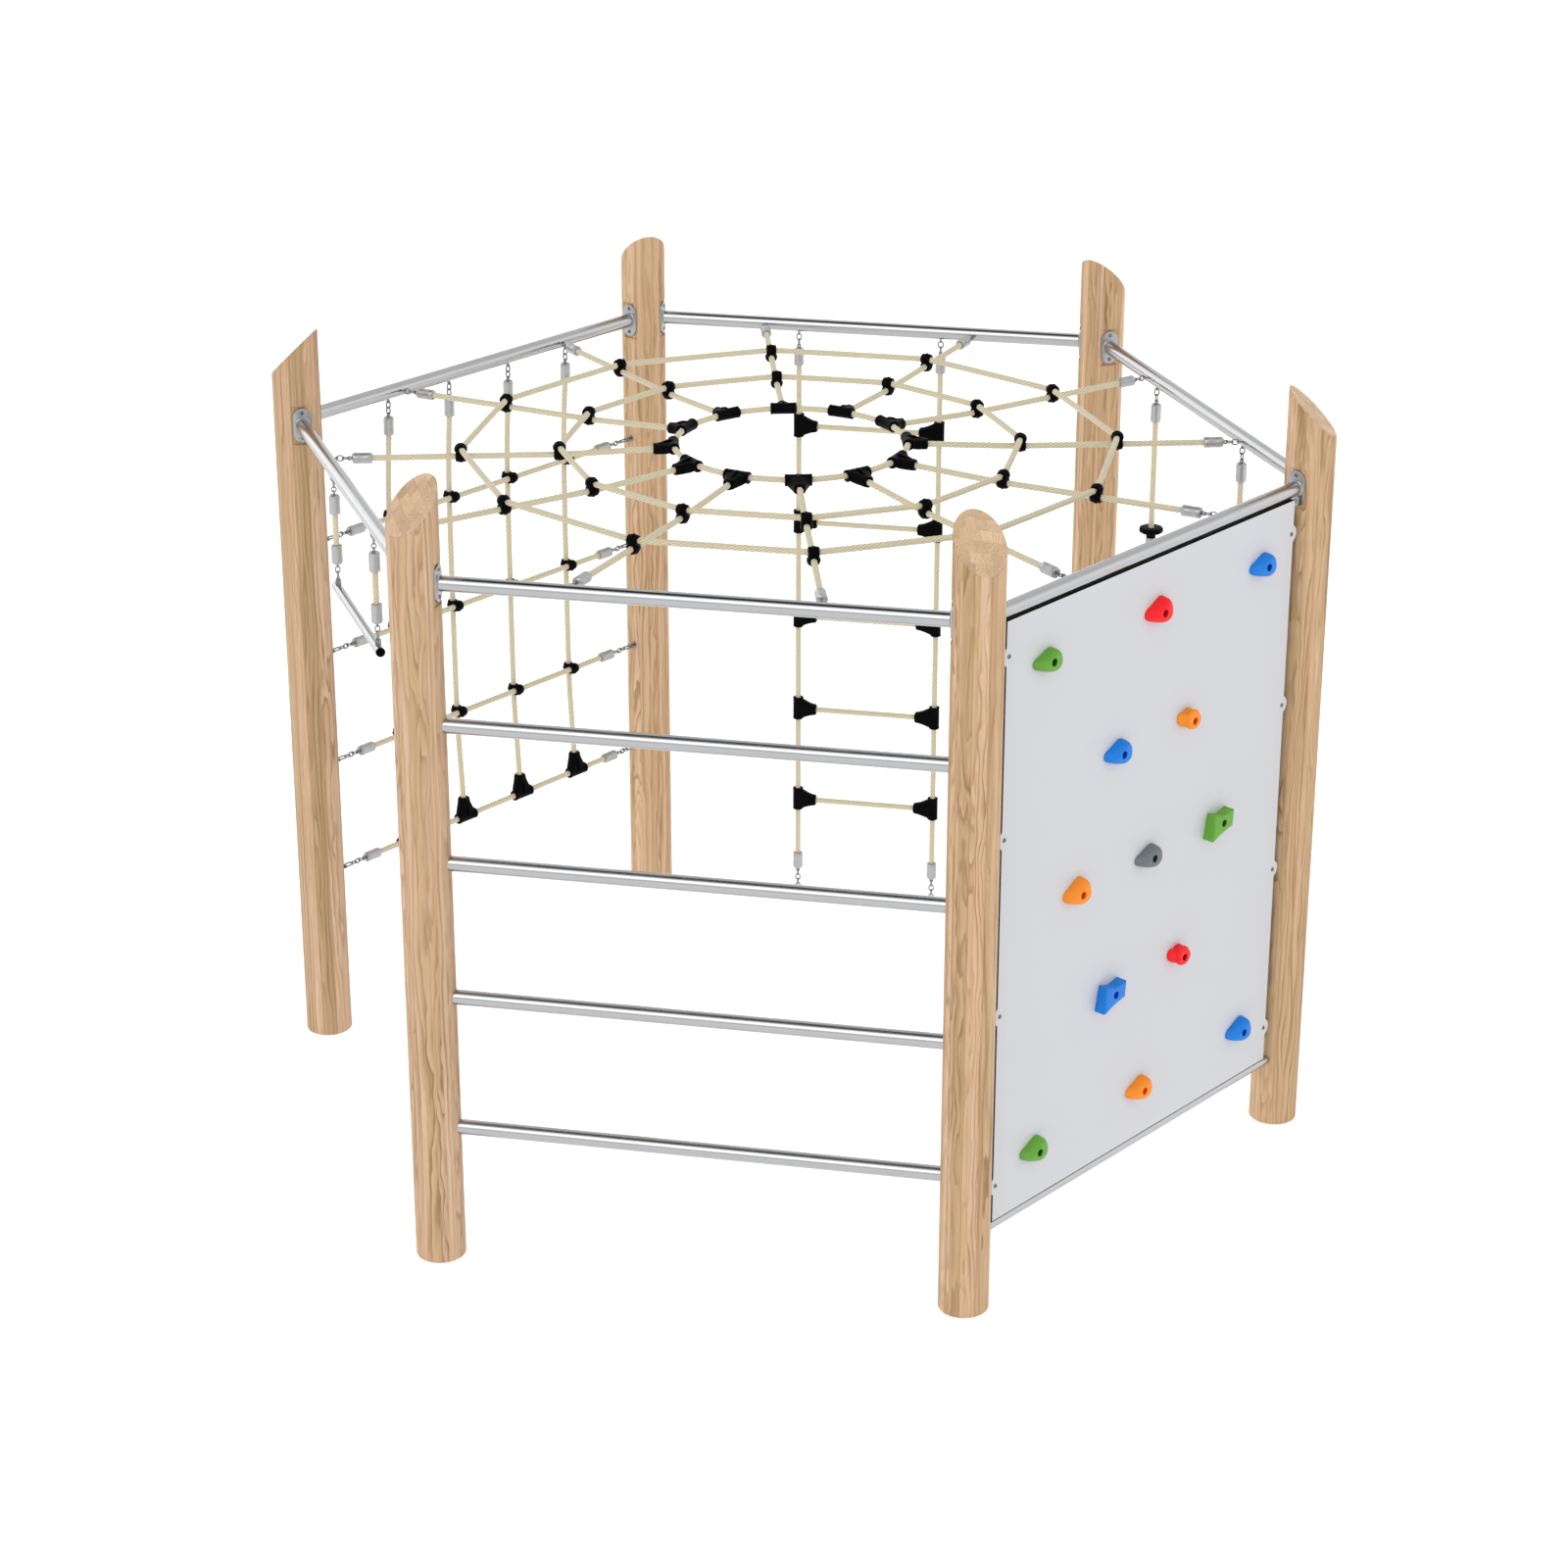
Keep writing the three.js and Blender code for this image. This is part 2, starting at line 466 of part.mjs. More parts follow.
// ---------------------------------------------------------------- back right: two climbing ropes with discs
{
  const side = sideGroups.back_right;
  [[-DISC_X, DISC_Z_A, 'left'], [DISC_X, DISC_Z_B, 'right']].forEach(([x, heights, word]) => {
    const parts = [
      rod(V(x, AP, 150), V(x, AP, 1880), ROPE_R, ROPE_SIDES),
      ...ropeEnd(V(x, AP, 1876), V(x, AP, RAIL_Z - TUBE_R), V(0, 0, -1), V(0, 1, 0)),
      rod(V(x, AP, 97), V(x, AP, 155), FERRULE_R, 8),
      link(V(x, AP, 100), V(x, AP, 3), V(1, 0, 0)),
      rod(V(x, AP, 0), V(x, AP, 5), 24, 6),
    ];
    for (const z of heights) {
      const profile = [[0, -70], [13, -70], [13, -DISC_T / 2 - 2], [DISC_R, -DISC_T / 2 + 1],
        [DISC_R, DISC_T / 2 - 2], [DISC_R - 4, DISC_T / 2], [0, DISC_T / 2]].map(([r, h]) => new THREE.Vector2(r, h));
      const g = new THREE.LatheGeometry(profile, 10);
      g.rotateX(Math.PI / 2).translate(x, AP, z);
      parts.push(solid(g));
    }
    side.add(mesh('disc_rope_' + word, union(parts), ropeMat()));
  });
}

// ---------------------------------------------------------------- front left: trapeze
{
  const side = sideGroups.front_left;
  for (const [s, word] of [[1, 'left'], [-1, 'right']]) {
    const x = s * TRAPEZE_X, c = (z) => V(x, AP, z);
    const cheeks = [-1, 1].map((k) => {
      const shape = polygon([[-5, 30], [5, 30], [7, 0], [4, -7], [-4, -7], [-7, 0]]);
      return slab(shape, 3.4, new THREE.Matrix4().makeBasis(V(0, 1, 0), V(0, 0, 1), V(1, 0, 0))
        .setPosition(k > 0 ? x + 3.3 : x - 6.7, AP, PIN_Z));
    });
    const body = union(
      link(c(SWING_Z + 2.5), c(SWING_Z - 34), V(1, 0, 0), 24, 5),
      link(c(SWING_Z - 26), c(1924), V(0, 1, 0), 16, 5),
      rod(c(1870), c(1930), FERRULE_R, 8),
      rod(c(1775), c(1875), ROPE_R, ROPE_SIDES),
      rod(c(1720), c(1780), FERRULE_R, 8),
      rod(c(1696), c(1722), 8, 6),
      ...cheeks,
      rod(V(x - 6, AP, PIN_Z), V(x + 6, AP, PIN_Z), 3, 6));
    side.add(mesh('trapeze_rope_' + word, body, ropeMat()));
  }
  const bar = rod(V(-TRAPEZE_HALF, AP, TRAPEZE_Z), V(TRAPEZE_HALF, AP, TRAPEZE_Z), TRAPEZE_R, 12);
  const lugs = [-1, 1].map((s) => {
    const shape = polygon([[-9, -TRAPEZE_R - 8], [9, -TRAPEZE_R - 8], [7, 3], [3, 7], [-3, 7], [-7, 3]]);
    shape.holes.push(new THREE.Path([0, 1, 2, 3, 4, 5].map((k) =>
      new THREE.Vector2(3.7 * Math.cos(-k * Math.PI / 3), 3.7 * Math.sin(-k * Math.PI / 3)))));
    return slab(shape, 5, new THREE.Matrix4().makeBasis(V(0, 1, 0), V(0, 0, 1), V(1, 0, 0)).setPosition(s * TRAPEZE_X - 2.5, AP, PIN_Z));
  });
  const bored = cut(union(bar, lugs), rod(V(-TRAPEZE_HALF - 5, AP, TRAPEZE_Z), V(TRAPEZE_HALF + 5, AP, TRAPEZE_Z), TRAPEZE_R - 2.3, 8));
  side.add(mesh('trapeze_bar', bored, steel()));
  for (const [s, word] of [[1, 'left'], [-1, 'right']]) {
    const a = s * (TRAPEZE_HALF + GAP);
    const cap = union(
      rod(V(a, AP, TRAPEZE_Z), V(a + s * 6, AP, TRAPEZE_Z), TRAPEZE_R, 12, TRAPEZE_R - 2),
      rod(V(a - s * 12, AP, TRAPEZE_Z), V(a + s * 1, AP, TRAPEZE_Z), TRAPEZE_R - 3.2, 6));
    side.add(mesh('trapeze_cap_' + word, cap, plastic()));
  }
}

export default group;
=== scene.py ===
# Hexagonal climbing frame: detailed pieces, materials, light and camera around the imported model.
import bpy
import math
from mathutils import Matrix, Vector, noise


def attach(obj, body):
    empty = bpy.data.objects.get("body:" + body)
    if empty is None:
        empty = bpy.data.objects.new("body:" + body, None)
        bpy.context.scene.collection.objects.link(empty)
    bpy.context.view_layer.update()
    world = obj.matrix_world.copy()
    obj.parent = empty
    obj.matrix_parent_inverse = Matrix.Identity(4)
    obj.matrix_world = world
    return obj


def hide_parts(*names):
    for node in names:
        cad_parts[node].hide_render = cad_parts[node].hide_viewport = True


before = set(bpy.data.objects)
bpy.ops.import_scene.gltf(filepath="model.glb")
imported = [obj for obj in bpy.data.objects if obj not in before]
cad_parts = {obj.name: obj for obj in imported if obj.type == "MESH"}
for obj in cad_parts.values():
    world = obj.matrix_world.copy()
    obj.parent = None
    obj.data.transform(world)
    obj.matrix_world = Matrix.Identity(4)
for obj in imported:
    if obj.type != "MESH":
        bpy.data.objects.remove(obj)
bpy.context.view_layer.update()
scene = bpy.context.scene

# ------------------------------------------------------------------ sizes, metres
HEX_R = 1.491
AP = HEX_R * math.cos(math.pi / 6)
HALF = HEX_R / 2
POST_R = 0.070
RAIL_Z = 2.010
TUBE_R = 0.0212
ROPE_R = 0.0091
SEP = 0.021
FERRULE_L = 0.058
SIDES = {"back": 90, "back_right": 30, "front_right": -30, "front": -90, "front_left": 210, "back_left": 150}
POSTS = {"right": 0, "back_right": 60, "back_left": 120, "left": 180, "front_left": 240, "front_right": 300}
TAU = 2 * math.pi


def rad(d):
    return math.radians(d)


def side_m(name):
    return Matrix.Rotation(rad(SIDES[name] - 90), 4, "Z")


def along(a, b, roll=Vector((0, 0, 1))):
    """Carries +Z onto the way from a to b, with its origin at a and +X leaning to roll."""
    a, b, roll = Vector(a), Vector(b), Vector(roll)
    z = (b - a).normalized()
    x = roll - z * roll.dot(z)
    if x.length < 1e-4:
        x = Vector((1, 0, 0)) - z * z.x
        if x.length < 1e-4:
            x = Vector((0, 1, 0)) - z * z.y
    x.normalize()
    y = z.cross(x)
    m = Matrix((x, y, z)).transposed().to_4x4()
    m.translation = a
    return m


def basis(x, y, z, at):
    m = Matrix((Vector(x), Vector(y), Vector(z))).transposed().to_4x4()
    m.translation = Vector(at)
    return m


# ------------------------------------------------------------------ mesh building
class Shell:
    """The vertices and faces of one mesh, with a material index per face and a number per vertex."""

    def __init__(self):
        self.v, self.f, self.m, self.a = [], [], [], []

    def add(self, verts, faces, M=None, mat=0, attr=None):
        b = len(self.v)
        if M is not None:
            verts = [M @ Vector(p) for p in verts]
        self.v.extend(tuple(p) for p in verts)
        self.f.extend([tuple(i + b for i in f) for f in faces])
        self.m.extend([mat] * len(faces) if isinstance(mat, int) else mat)
        self.a.extend(attr if attr is not None else [0.0] * len(verts))

    def lathe(self, profile, M=None, segs=32, mat=0, wave=None):
        """profile: (r, z) from one end to the other; an end at r 0 is a pole. wave(angle, r, z) gives a radius."""
        verts, rings = [], []
        for r, z in profile:
            if r < 1e-9:
                rings.append([len(verts)])
                verts.append((0, 0, z))
            else:
                start = len(verts)
                for i in range(segs):
                    t = TAU * i / segs
                    rr = wave(t, r, z) if wave else r
                    verts.append((rr * math.cos(t), rr * math.sin(t), z))
                rings.append(list(range(start, start + segs)))
        faces = []
        for p, q in zip(rings, rings[1:]):
            if len(p) == 1 and len(q) == 1:
                continue
            for i in range(segs):
                j = (i + 1) % segs
                if len(p) == 1:
                    faces.append((p[0], q[j], q[i]))
                elif len(q) == 1:
                    faces.append((p[i], p[j], q[0]))
                else:
                    faces.append((p[i], p[j], q[j], q[i]))
        self.add(verts, faces, M, mat)

    def ring(self, profile, M=None, segs=32, mat=0):
        """A closed profile turned about Z, such as a tube with a bore."""
        verts = []
        n = len(profile)
        for r, z in profile:
            for i in range(segs):
                t = TAU * i / segs
                verts.append((r * math.cos(t), r * math.sin(t), z))
        faces = []
        for k in range(n):
            p, q = k * segs, ((k + 1) % n) * segs
            for i in range(segs):
                j = (i + 1) % segs
                faces.append((p + i, p + j, q + j, q + i))
        self.add(verts, faces, M, mat)

    def loft(self, sections, M=None, mat=0, closed=False, attr=None):
        """Sections are equal-length point loops; their ends are capped unless closed."""
        n = len(sections[0])
        verts = [p for s in sections for p in s]
        faces = []
        count = len(sections)
        for k in range(count if closed else count - 1):
            a, b = k * n, ((k + 1) % count) * n
            for i in range(n):
                j = (i + 1) % n
                faces.append((a + i, a + j, b + j, b + i))
        if not closed:
            faces.append(tuple(range(n - 1, -1, -1)))
            faces.append(tuple(range((count - 1) * n, count * n)))
        self.add(verts, faces, M, mat, attr)

    def sweep(self, pts, r, normal, segs=10, mat=0, closed=False):
        """A round wire along points that lie in a plane square to normal."""
        pts = [Vector(p) for p in pts]
        normal = Vector(normal).normalized()
        n, out = len(pts), []
        for k, p in enumerate(pts):
            a = pts[(k - 1) % n] if closed or k else p
            b = pts[(k + 1) % n] if closed or k < n - 1 else p
            t = (b - a).normalized()
            bn = t.cross(normal).normalized()
            out.append([p + bn * (r * math.cos(TAU * i / segs)) + normal * (r * math.sin(TAU * i / segs)) for i in range(segs)])
        self.loft(out, None, mat, closed)

    def prism(self, outline, z0, z1, M=None, mat=0, side_mat=None):
        n = len(outline)
        verts = [(x, y, z0) for x, y in outline] + [(x, y, z1) for x, y in outline]
        faces = [tuple(range(n - 1, -1, -1)), tuple(range(n, 2 * n))]
        mats = [mat, mat]
        for i in range(n):
            j = (i + 1) % n
            faces.append((i, j, n + j, n + i))
            mats.append(mat if side_mat is None else side_mat)
        self.add(verts, faces, M, mats)

    def make(self, name, mats, body, nodes=(), slot=None, sharp=32, attr_name=None, bevel=None):
        me = bpy.data.meshes.new(name)
        me.from_pydata(self.v, [], self.f)
        me.update()
        for m in mats:
            me.materials.append(m)
        me.polygons.foreach_set("material_index", self.m)
        me.polygons.foreach_set("use_smooth", [True] * len(self.f))
        if attr_name:
            at = me.attributes.new(attr_name, "FLOAT", "POINT")
            at.data.foreach_set("value", self.a)
        me.update()
        me.set_sharp_from_angle(angle=rad(sharp))
        o = bpy.data.objects.new(name, me)
        scene.collection.objects.link(o)
        if bevel:
            b = o.modifiers.new("edge", "BEVEL")
            b.width, b.segments, b.limit_method, b.angle_limit = bevel, 2, "ANGLE", rad(35)
            b.harden_normals = False
            b.use_clamp_overlap = True
        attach(o, body)
        if nodes:
            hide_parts(*nodes)
        return o


def chaikin(pts, times=2, closed=False):
    pts = [Vector(p) for p in pts]
    for _ in range(times):
        out = [] if closed else [pts[0]]
        n = len(pts)
        for i in range(n if closed else n - 1):
            a, b = pts[i], pts[(i + 1) % n]
            out += [a.lerp(b, 0.25), a.lerp(b, 0.75)]
        if not closed:
            out.append(pts[-1])
        pts = out
    return pts


def resample(pts, step, closed=False):
    pts = [Vector(p) for p in pts]
    if closed:
        pts = pts + [pts[0]]
    acc = [0.0]
    for a, b in zip(pts, pts[1:]):
        acc.append(acc[-1] + (b - a).length)
    total = acc[-1]
    n = max(2, round(total / step))
    out, k = [], 0
    for i in range(n + (0 if closed else 1)):
        d = total * i / n
        while k < len(acc) - 2 and acc[k + 1] < d:
            k += 1
        seg = acc[k + 1] - acc[k]
        out.append(pts[k].lerp(pts[k + 1], (d - acc[k]) / seg if seg > 1e-12 else 0.0))
    return out, total


STRANDS, PER = 6, 4
PITCH = 0.098


def rope(sh, pts, normal, closed=False, step=0.0062, r=ROPE_R, phase=0.0):
    """A twisted six-strand rope along points in a plane square to normal."""
    path, total = resample(pts, step, closed)
    normal = Vector(normal).normalized()
    n = len(path)
    turns = total / PITCH
    if closed:
        turns = round(turns * STRANDS) / STRANDS
    count = STRANDS * PER
    lobes = [0.0, -0.42, -1.0, -0.42]
    sections, attr = [], []
    for k, p in enumerate(path):
        a = path[(k - 1) % n] if closed or k else p
        b = path[(k + 1) % n] if closed or k < n - 1 else p
        t = (b - a).normalized()
        bn = t.cross(normal).normalized()
        twist = TAU * turns * k / (n if closed else n - 1) + phase
        loop = []
        for i in range(count):
            w = lobes[i % PER]
            rr = r + 0.00125 * w
            an = twist + TAU * i / count
            loop.append(p + bn * (rr * math.cos(an)) + normal * (rr * math.sin(an)))
            # The 'lay' number is 0 in the valleys between strands and 1 on their crests; the rope material paints shade
            # into the valleys from it.
            attr.append(1.0 + w)
        sections.append(loop)
    if closed and STRANDS * turns != round(STRANDS * turns):
        pass
    if closed:
        # The last ring meets the first one turned by whole strands.
        shift = (round(turns * STRANDS) * PER) % count
        m = len(sections)
        verts = [q for s in sections for q in s]
        faces = []
        for k in range(m):
            a0, b0 = k * count, ((k + 1) % m) * count
            off = shift if k == m - 1 else 0
            for i in range(count):
                j = (i + 1) % count
                faces.append((a0 + i, a0 + j, b0 + (j + off) % count, b0 + (i + off) % count))
        sh.add(verts, faces, None, 0, attr)
    else:
        sh.loft(sections, None, 0, False, attr)


def stadium(half, w, n=7):
    """Points round a stadium whose straight sides run along Z: half is to the end centres, w the end radius."""
    out = []
    for i in range(n):
        t = math.pi * i / (n - 1)
        out.append((w * math.cos(t), 0, half + w * math.sin(t)))
    for i in range(n):
        t = math.pi + math.pi * i / (n - 1)
        out.append((w * math.cos(t), 0, -half + w * math.sin(t)))
    return out


def link(sh, a, b, roll, wire=0.0019, width=0.0075, mat=0):
    """A welded chain link whose wire centres pass through a and b; width is to the wire's centre."""
    a, b = Vector(a), Vector(b)
    M = along(a.lerp(b, 0.5), b, roll)
    half = max(0.0005, (b - a).length / 2 - width)
    pts = [M @ Vector(p) for p in stadium(half, width)]
    nrm = (M.to_3x3() @ Vector((0, 1, 0)))
    sh.sweep(pts, wire, nrm, 8, mat, True)


def chain(sh, a, b, roll, pitch=0.0165, wire=0.0022, mat=0):
    """Links from a to b, turned by a quarter from one to the next. a and b are where the end links pull."""
    a, b, roll = Vector(a), Vector(b), Vector(roll)
    d = (b - a)
    n = max(1, round(d.length / pitch))
    p = d.length / n
    z = d.normalized()
    other = z.cross(roll)
    for k in range(n):
        c = a + z * (p * (k + 0.5))
        h = p / 2 + wire
        link(sh, c - z * h, c + z * h, roll if k % 2 == 0 else other, wire, mat=mat)


def ferrule(sh, a, dir_, roll, mat=0):
    """A pressed aluminium sleeve whose rope enters at a; two thin press seams run along it."""
    a, dir_ = Vector(a), Vector(dir_).normalized()
    M = along(a, a + dir_, roll)
    L = FERRULE_L

    def seam(t, r, z):
        e = abs(math.sin(t))
        return r + (0.0006 if e < 0.09 and r > 0.0150 else 0.0)
    sh.lathe([(0.0088, 0.0035), (0.0092, 0.0008), (0.0126, 0.0), (0.0148, 0.0010), (0.0158, 0.0030), (0.0158, L * 0.30), (0.0155, L * 0.33),
              (0.0155, L * 0.67), (0.0158, L * 0.70), (0.0158, L - 0.0070), (0.0148, L - 0.0034), (0.0116, L - 0.0006), (0.0065, L + 0.0004), (0, L + 0.0004)],
             M, 40, mat, seam)


def eye(sh, base, dir_, roll, R=0.0062, wire=0.0021, neck=0.004, mat=0):
    """A ring on a short neck that stands at base; returns the point where a link pulls on it."""
    base, dir_ = Vector(base), Vector(dir_).normalized()
    M = along(base, base + dir_, roll)
    sh.lathe([(0, -0.002), (wire * 1.25, -0.002), (wire * 1.1, neck), (0, neck + wire)], M, 12, mat)
    c = neck + R
    pts = [M @ Vector((R * math.cos(TAU * i / 18), 0, c + R * math.sin(TAU * i / 18))) for i in range(18)]
    sh.sweep(pts, wire, M.to_3x3() @ Vector((0, 1, 0)), 8, mat, True)
    return M @ Vector((0, 0, c + R - wire))


def shackle(sh, a, b, roll, wire=0.0026, w=0.0078, mat=0):
    """A bow shackle: its bow holds a link at a, its pin goes through an eye at b."""
    a, b, roll = Vector(a), Vector(b), Vector(roll)
    M = along(b, a, roll)
    h = (a - b).length + wire
    pts = [(w, 0, 0), (w, 0, h * 0.25), (w * 1.12, 0, h * 0.45)]
    for i in range(9):
        t = math.pi * i / 8
        pts.append((w * 1.16 * math.cos(t), 0, h - w * 1.16 + w * 1.16 * math.sin(t)))
    pts += [(-w * 1.12, 0, h * 0.45), (-w, 0, h * 0.25), (-w, 0, 0)]
    sh.sweep([M @ Vector(p) for p in pts], wire, M.to_3x3() @ Vector((0, 1, 0)), 10, mat)
    for s in (-1, 1):
        E = M @ Matrix.Translation((s * w, 0, 0)) @ Matrix.Rotation(rad(90), 4, "Y")
        sh.lathe([(0, -wire), (0.0044, -wire), (0.0050, -wire * 0.6), (0.0050, wire * 0.6), (0.0044, wire), (0, wire)], E, 18, mat)
    P = M @ Matrix.Translation((-w - 0.0045, 0, 0)) @ Matrix.Rotation(rad(90), 4, "Y")
    sh.lathe([(0, 0), (0.0024, 0.0002), (0.0026, 0.0008), (0.0026, 2 * w + 0.0062), (0.0042, 2 * w + 0.0064), (0.0042, 2 * w + 0.0100), (0.0036, 2 * w + 0.0108), (0, 2 * w + 0.0108)], P, 12, mat)


def rail_end(sh, a, b, normal, roll):
    """Sleeve at a, chain, and the eye that is welded to a rail at b, with normal out of the rail."""
    a, b = Vector(a), Vector(b)
    z = (b - a).normalized()
    ferrule(sh, a, z, roll, 1)
    start = a + z * FERRULE_L
    p0 = eye(sh, start, z, roll, R=0.0050, neck=0.002)
    p1 = eye(sh, b, normal, Vector(normal).cross(Vector(roll)) if abs(Vector(normal).dot(Vector(roll))) < 0.9 else roll, R=0.0052, neck=0.0015)
    side = z.cross(Vector(roll))
    chain(sh, p0, p1, side)


def post_end(sh, a, b, normal, roll):
    """Sleeve at a, a link, a shackle and the eye bolt in the post at b."""
    a, b, normal = Vector(a), Vector(b), Vector(normal)
    z = (b - a).normalized()
    ferrule(sh, a, z, roll, 1)
    start = a + z * FERRULE_L
    p0 = eye(sh, start, z, roll, R=0.0052, neck=0.002)
    M = along(b, b + normal, roll)
    sh.lathe([(0, -0.001), (0.0100, -0.001), (0.0104, 0.0008), (0.0098, 0.0024), (0.0062, 0.0030), (0.0060, 0.0075), (0, 0.0078)], M, 24, 0)
    p1 = eye(sh, b + normal * 0.007, normal, roll, R=0.0060, wire=0.0026, neck=0.003)
    side = z.cross(Vector(roll))
    q = p1 - z * 0.030
    shackle(sh, q, p1 + z * 0.0018, side, mat=0)
    chain(sh, p0, q, side, pitch=0.0170)


# ------------------------------------------------------------------ materials
class Nodes:
    def __init__(self, name):
        self.mat = bpy.data.materials.new(name)
        self.mat.use_nodes = True
        self.t = self.mat.node_tree
        self.bsdf = self.t.nodes["Principled BSDF"]

    def node(self, kind, **props):
        n = self.t.nodes.new(kind)
        inputs = props.pop("inputs", {})
        for k, v in props.items():
            setattr(n, k, v)
        for k, v in inputs.items():
            if isinstance(v, bpy.types.NodeSocket):
                self.t.links.new(v, n.inputs[k])
            else:
                n.inputs[k].default_value = v
        return n

    def math(self, op, a, b=None, clamp=False):
        n = self.t.nodes.new("ShaderNodeMath")
        n.operation, n.use_clamp = op, clamp
        for i, v in enumerate((a, b)):
            if v is None:
                continue
            if isinstance(v, bpy.types.NodeSocket):
                self.t.links.new(v, n.inputs[i])
            else:
                n.inputs[i].default_value = v
        return n.outputs[0]

    def mix(self, fac, a, b, blend="MIX"):
        n = self.t.nodes.new("ShaderNodeMix")
        n.data_type, n.blend_type = "RGBA", blend
        for k, v in ((0, fac), (6, a), (7, b)):
            if isinstance(v, bpy.types.NodeSocket):
                self.t.links.new(v, n.inputs[k])
            else:
                n.inputs[k].default_value = v if k == 0 else (*v[:3], 1)
        return n.outputs[2]

    def ramp(self, fac, stops, interp="LINEAR"):
        n = self.t.nodes.new("ShaderNodeValToRGB")
        n.color_ramp.interpolation = interp
        e = n.color_ramp.elements
        while len(e) < len(stops):
            e.new(0.5)
        for el, (p, c) in zip(e, stops):
            el.position = p
            el.color = (*c[:3], 1) if not isinstance(c, (int, float)) else (c, c, c, 1)
        self.t.links.new(fac, n.inputs[0])
        return n.outputs[0]

    def noise(self, vec, scale, detail=3, rough=0.5, dims="3D", dist=0.0):
        n = self.node("ShaderNodeTexNoise", noise_dimensions=dims, inputs={"Scale": scale, "Detail": detail, "Roughness": rough, "Distortion": dist})
        self.t.links.new(vec, n.inputs["Vector"])
        return n.outputs["Fac"]

    def coords(self, scale=(1, 1, 1), loc=(0, 0, 0), rot=(0, 0, 0)):
        tc = self.node("ShaderNodeTexCoord")
        mp = self.node("ShaderNodeMapping", inputs={"Location": loc, "Rotation": rot, "Scale": scale})
        self.t.links.new(tc.outputs["Object"], mp.inputs["Vector"])
        return mp.outputs[0]

    def bump(self, height, strength, distance):
        n = self.node("ShaderNodeBump", inputs={"Strength": strength, "Distance": distance})
        self.t.links.new(height, n.inputs["Height"])
        self.t.links.new(n.outputs[0], self.bsdf.inputs["Normal"])

    def set(self, **kw):
        for k, v in kw.items():
            s = self.bsdf.inputs[k.replace("_", " ")]
            if isinstance(v, bpy.types.NodeSocket):
                self.t.links.new(v, s)
            else:
                s.default_value = (*v, 1) if isinstance(v, tuple) and len(v) == 3 else v


def lin(r, g, b):
    def f(c):
        c /= 255.0
        return c / 12.92 if c <= 0.04045 else ((c + 0.055) / 1.055) ** 2.4
    return (f(r), f(g), f(b))


def steel_material(name, axis_deg, vertical=False, base=(0.452, 0.456, 0.464), rough=0.17):
    """Satin tube: fine scratches along the tube, slightly uneven gloss."""
    n = Nodes(name)
    c = n.coords(scale=(3, 260, 260) if not vertical else (260, 260, 3), rot=(0, 0, -rad(axis_deg)))
    fine = n.noise(c, 6.0, 3, 0.6)
    c2 = n.coords(scale=(6, 30, 30), rot=(0, 0, -rad(axis_deg)), loc=(0.3, 0.1, 0.7))
    broad = n.noise(c2, 1.2, 2, 0.5)
    n.set(Base_Color=n.mix(n.math("MULTIPLY", broad, 0.5), base, tuple(x * 0.86 for x in base)),
          Metallic=1.0,
          Roughness=n.math("ADD", rough - 0.05, n.math("MULTIPLY", fine, 0.12)))
    n.bump(fine, 0.035, 0.0004)
    return n.mat


def metal_plain(name, base, rough, scale=220.0, bump=0.12):
    n = Nodes(name)
    c = n.coords()
    f = n.noise(c, scale, 3, 0.6)
    g = n.noise(c, scale * 0.12, 2, 0.5)
    n.set(Base_Color=n.mix(n.math("MULTIPLY", g, 0.6), base, tuple(x * 0.8 for x in base)), Metallic=1.0,
          Roughness=n.math("ADD", rough - 0.05, n.math("MULTIPLY", f, 0.14)))
    n.bump(f, bump, 0.0003)
    return n.mat


def plastic_material(name, color, rough=0.45, bump=0.25, scale=900.0, coat=0.0, level=0.5):
    n = Nodes(name)
    c = n.coords()
    f = n.noise(c, scale, 3, 0.6)
    g = n.noise(c, 35.0, 3, 0.5)
    n.set(Base_Color=n.mix(g, tuple(x * 0.90 for x in color), tuple(min(1, x * 1.08) for x in color)),
          Roughness=n.math("ADD", rough - 0.08, n.math("MULTIPLY", f, 0.16)))
    n.bsdf.inputs["Coat Weight"].default_value = coat
    n.bsdf.inputs["Specular IOR Level"].default_value = level
    n.bump(f, bump, 0.0003)
    return n.mat


def rope_material(name):
    n = Nodes(name)
    at = n.node("ShaderNodeAttribute", attribute_name="lay")
    c = n.coords()
    f = n.noise(c, 1500.0, 3, 0.7)
    g = n.noise(c, 60.0, 3, 0.6)
    col = n.mix(g, lin(217, 207, 178), lin(226, 218, 193))
    col = n.mix(n.math("MULTIPLY", f, 0.30), col, lin(190, 177, 142))
    # Painted shade: the 'lay' number darkens the rope in the valleys between its strands.
    strand_valley_shade = n.ramp(at.outputs["Fac"], [(0.0, (0.62, 0.58, 0.50)), (0.45, (0.93, 0.92, 0.90)), (1.0, (1, 1, 1))])
    n.set(Base_Color=n.mix(1.0, col, strand_valley_shade, "MULTIPLY"), Roughness=0.85)
    n.bsdf.inputs["Sheen Weight"].default_value = 0.25
    n.bsdf.inputs["Sheen Roughness"].default_value = 0.5
    n.bump(f, 0.5, 0.0006)
    return n.mat


TONE = {240: 0.87, 180: 0.88, 300: 0.95}


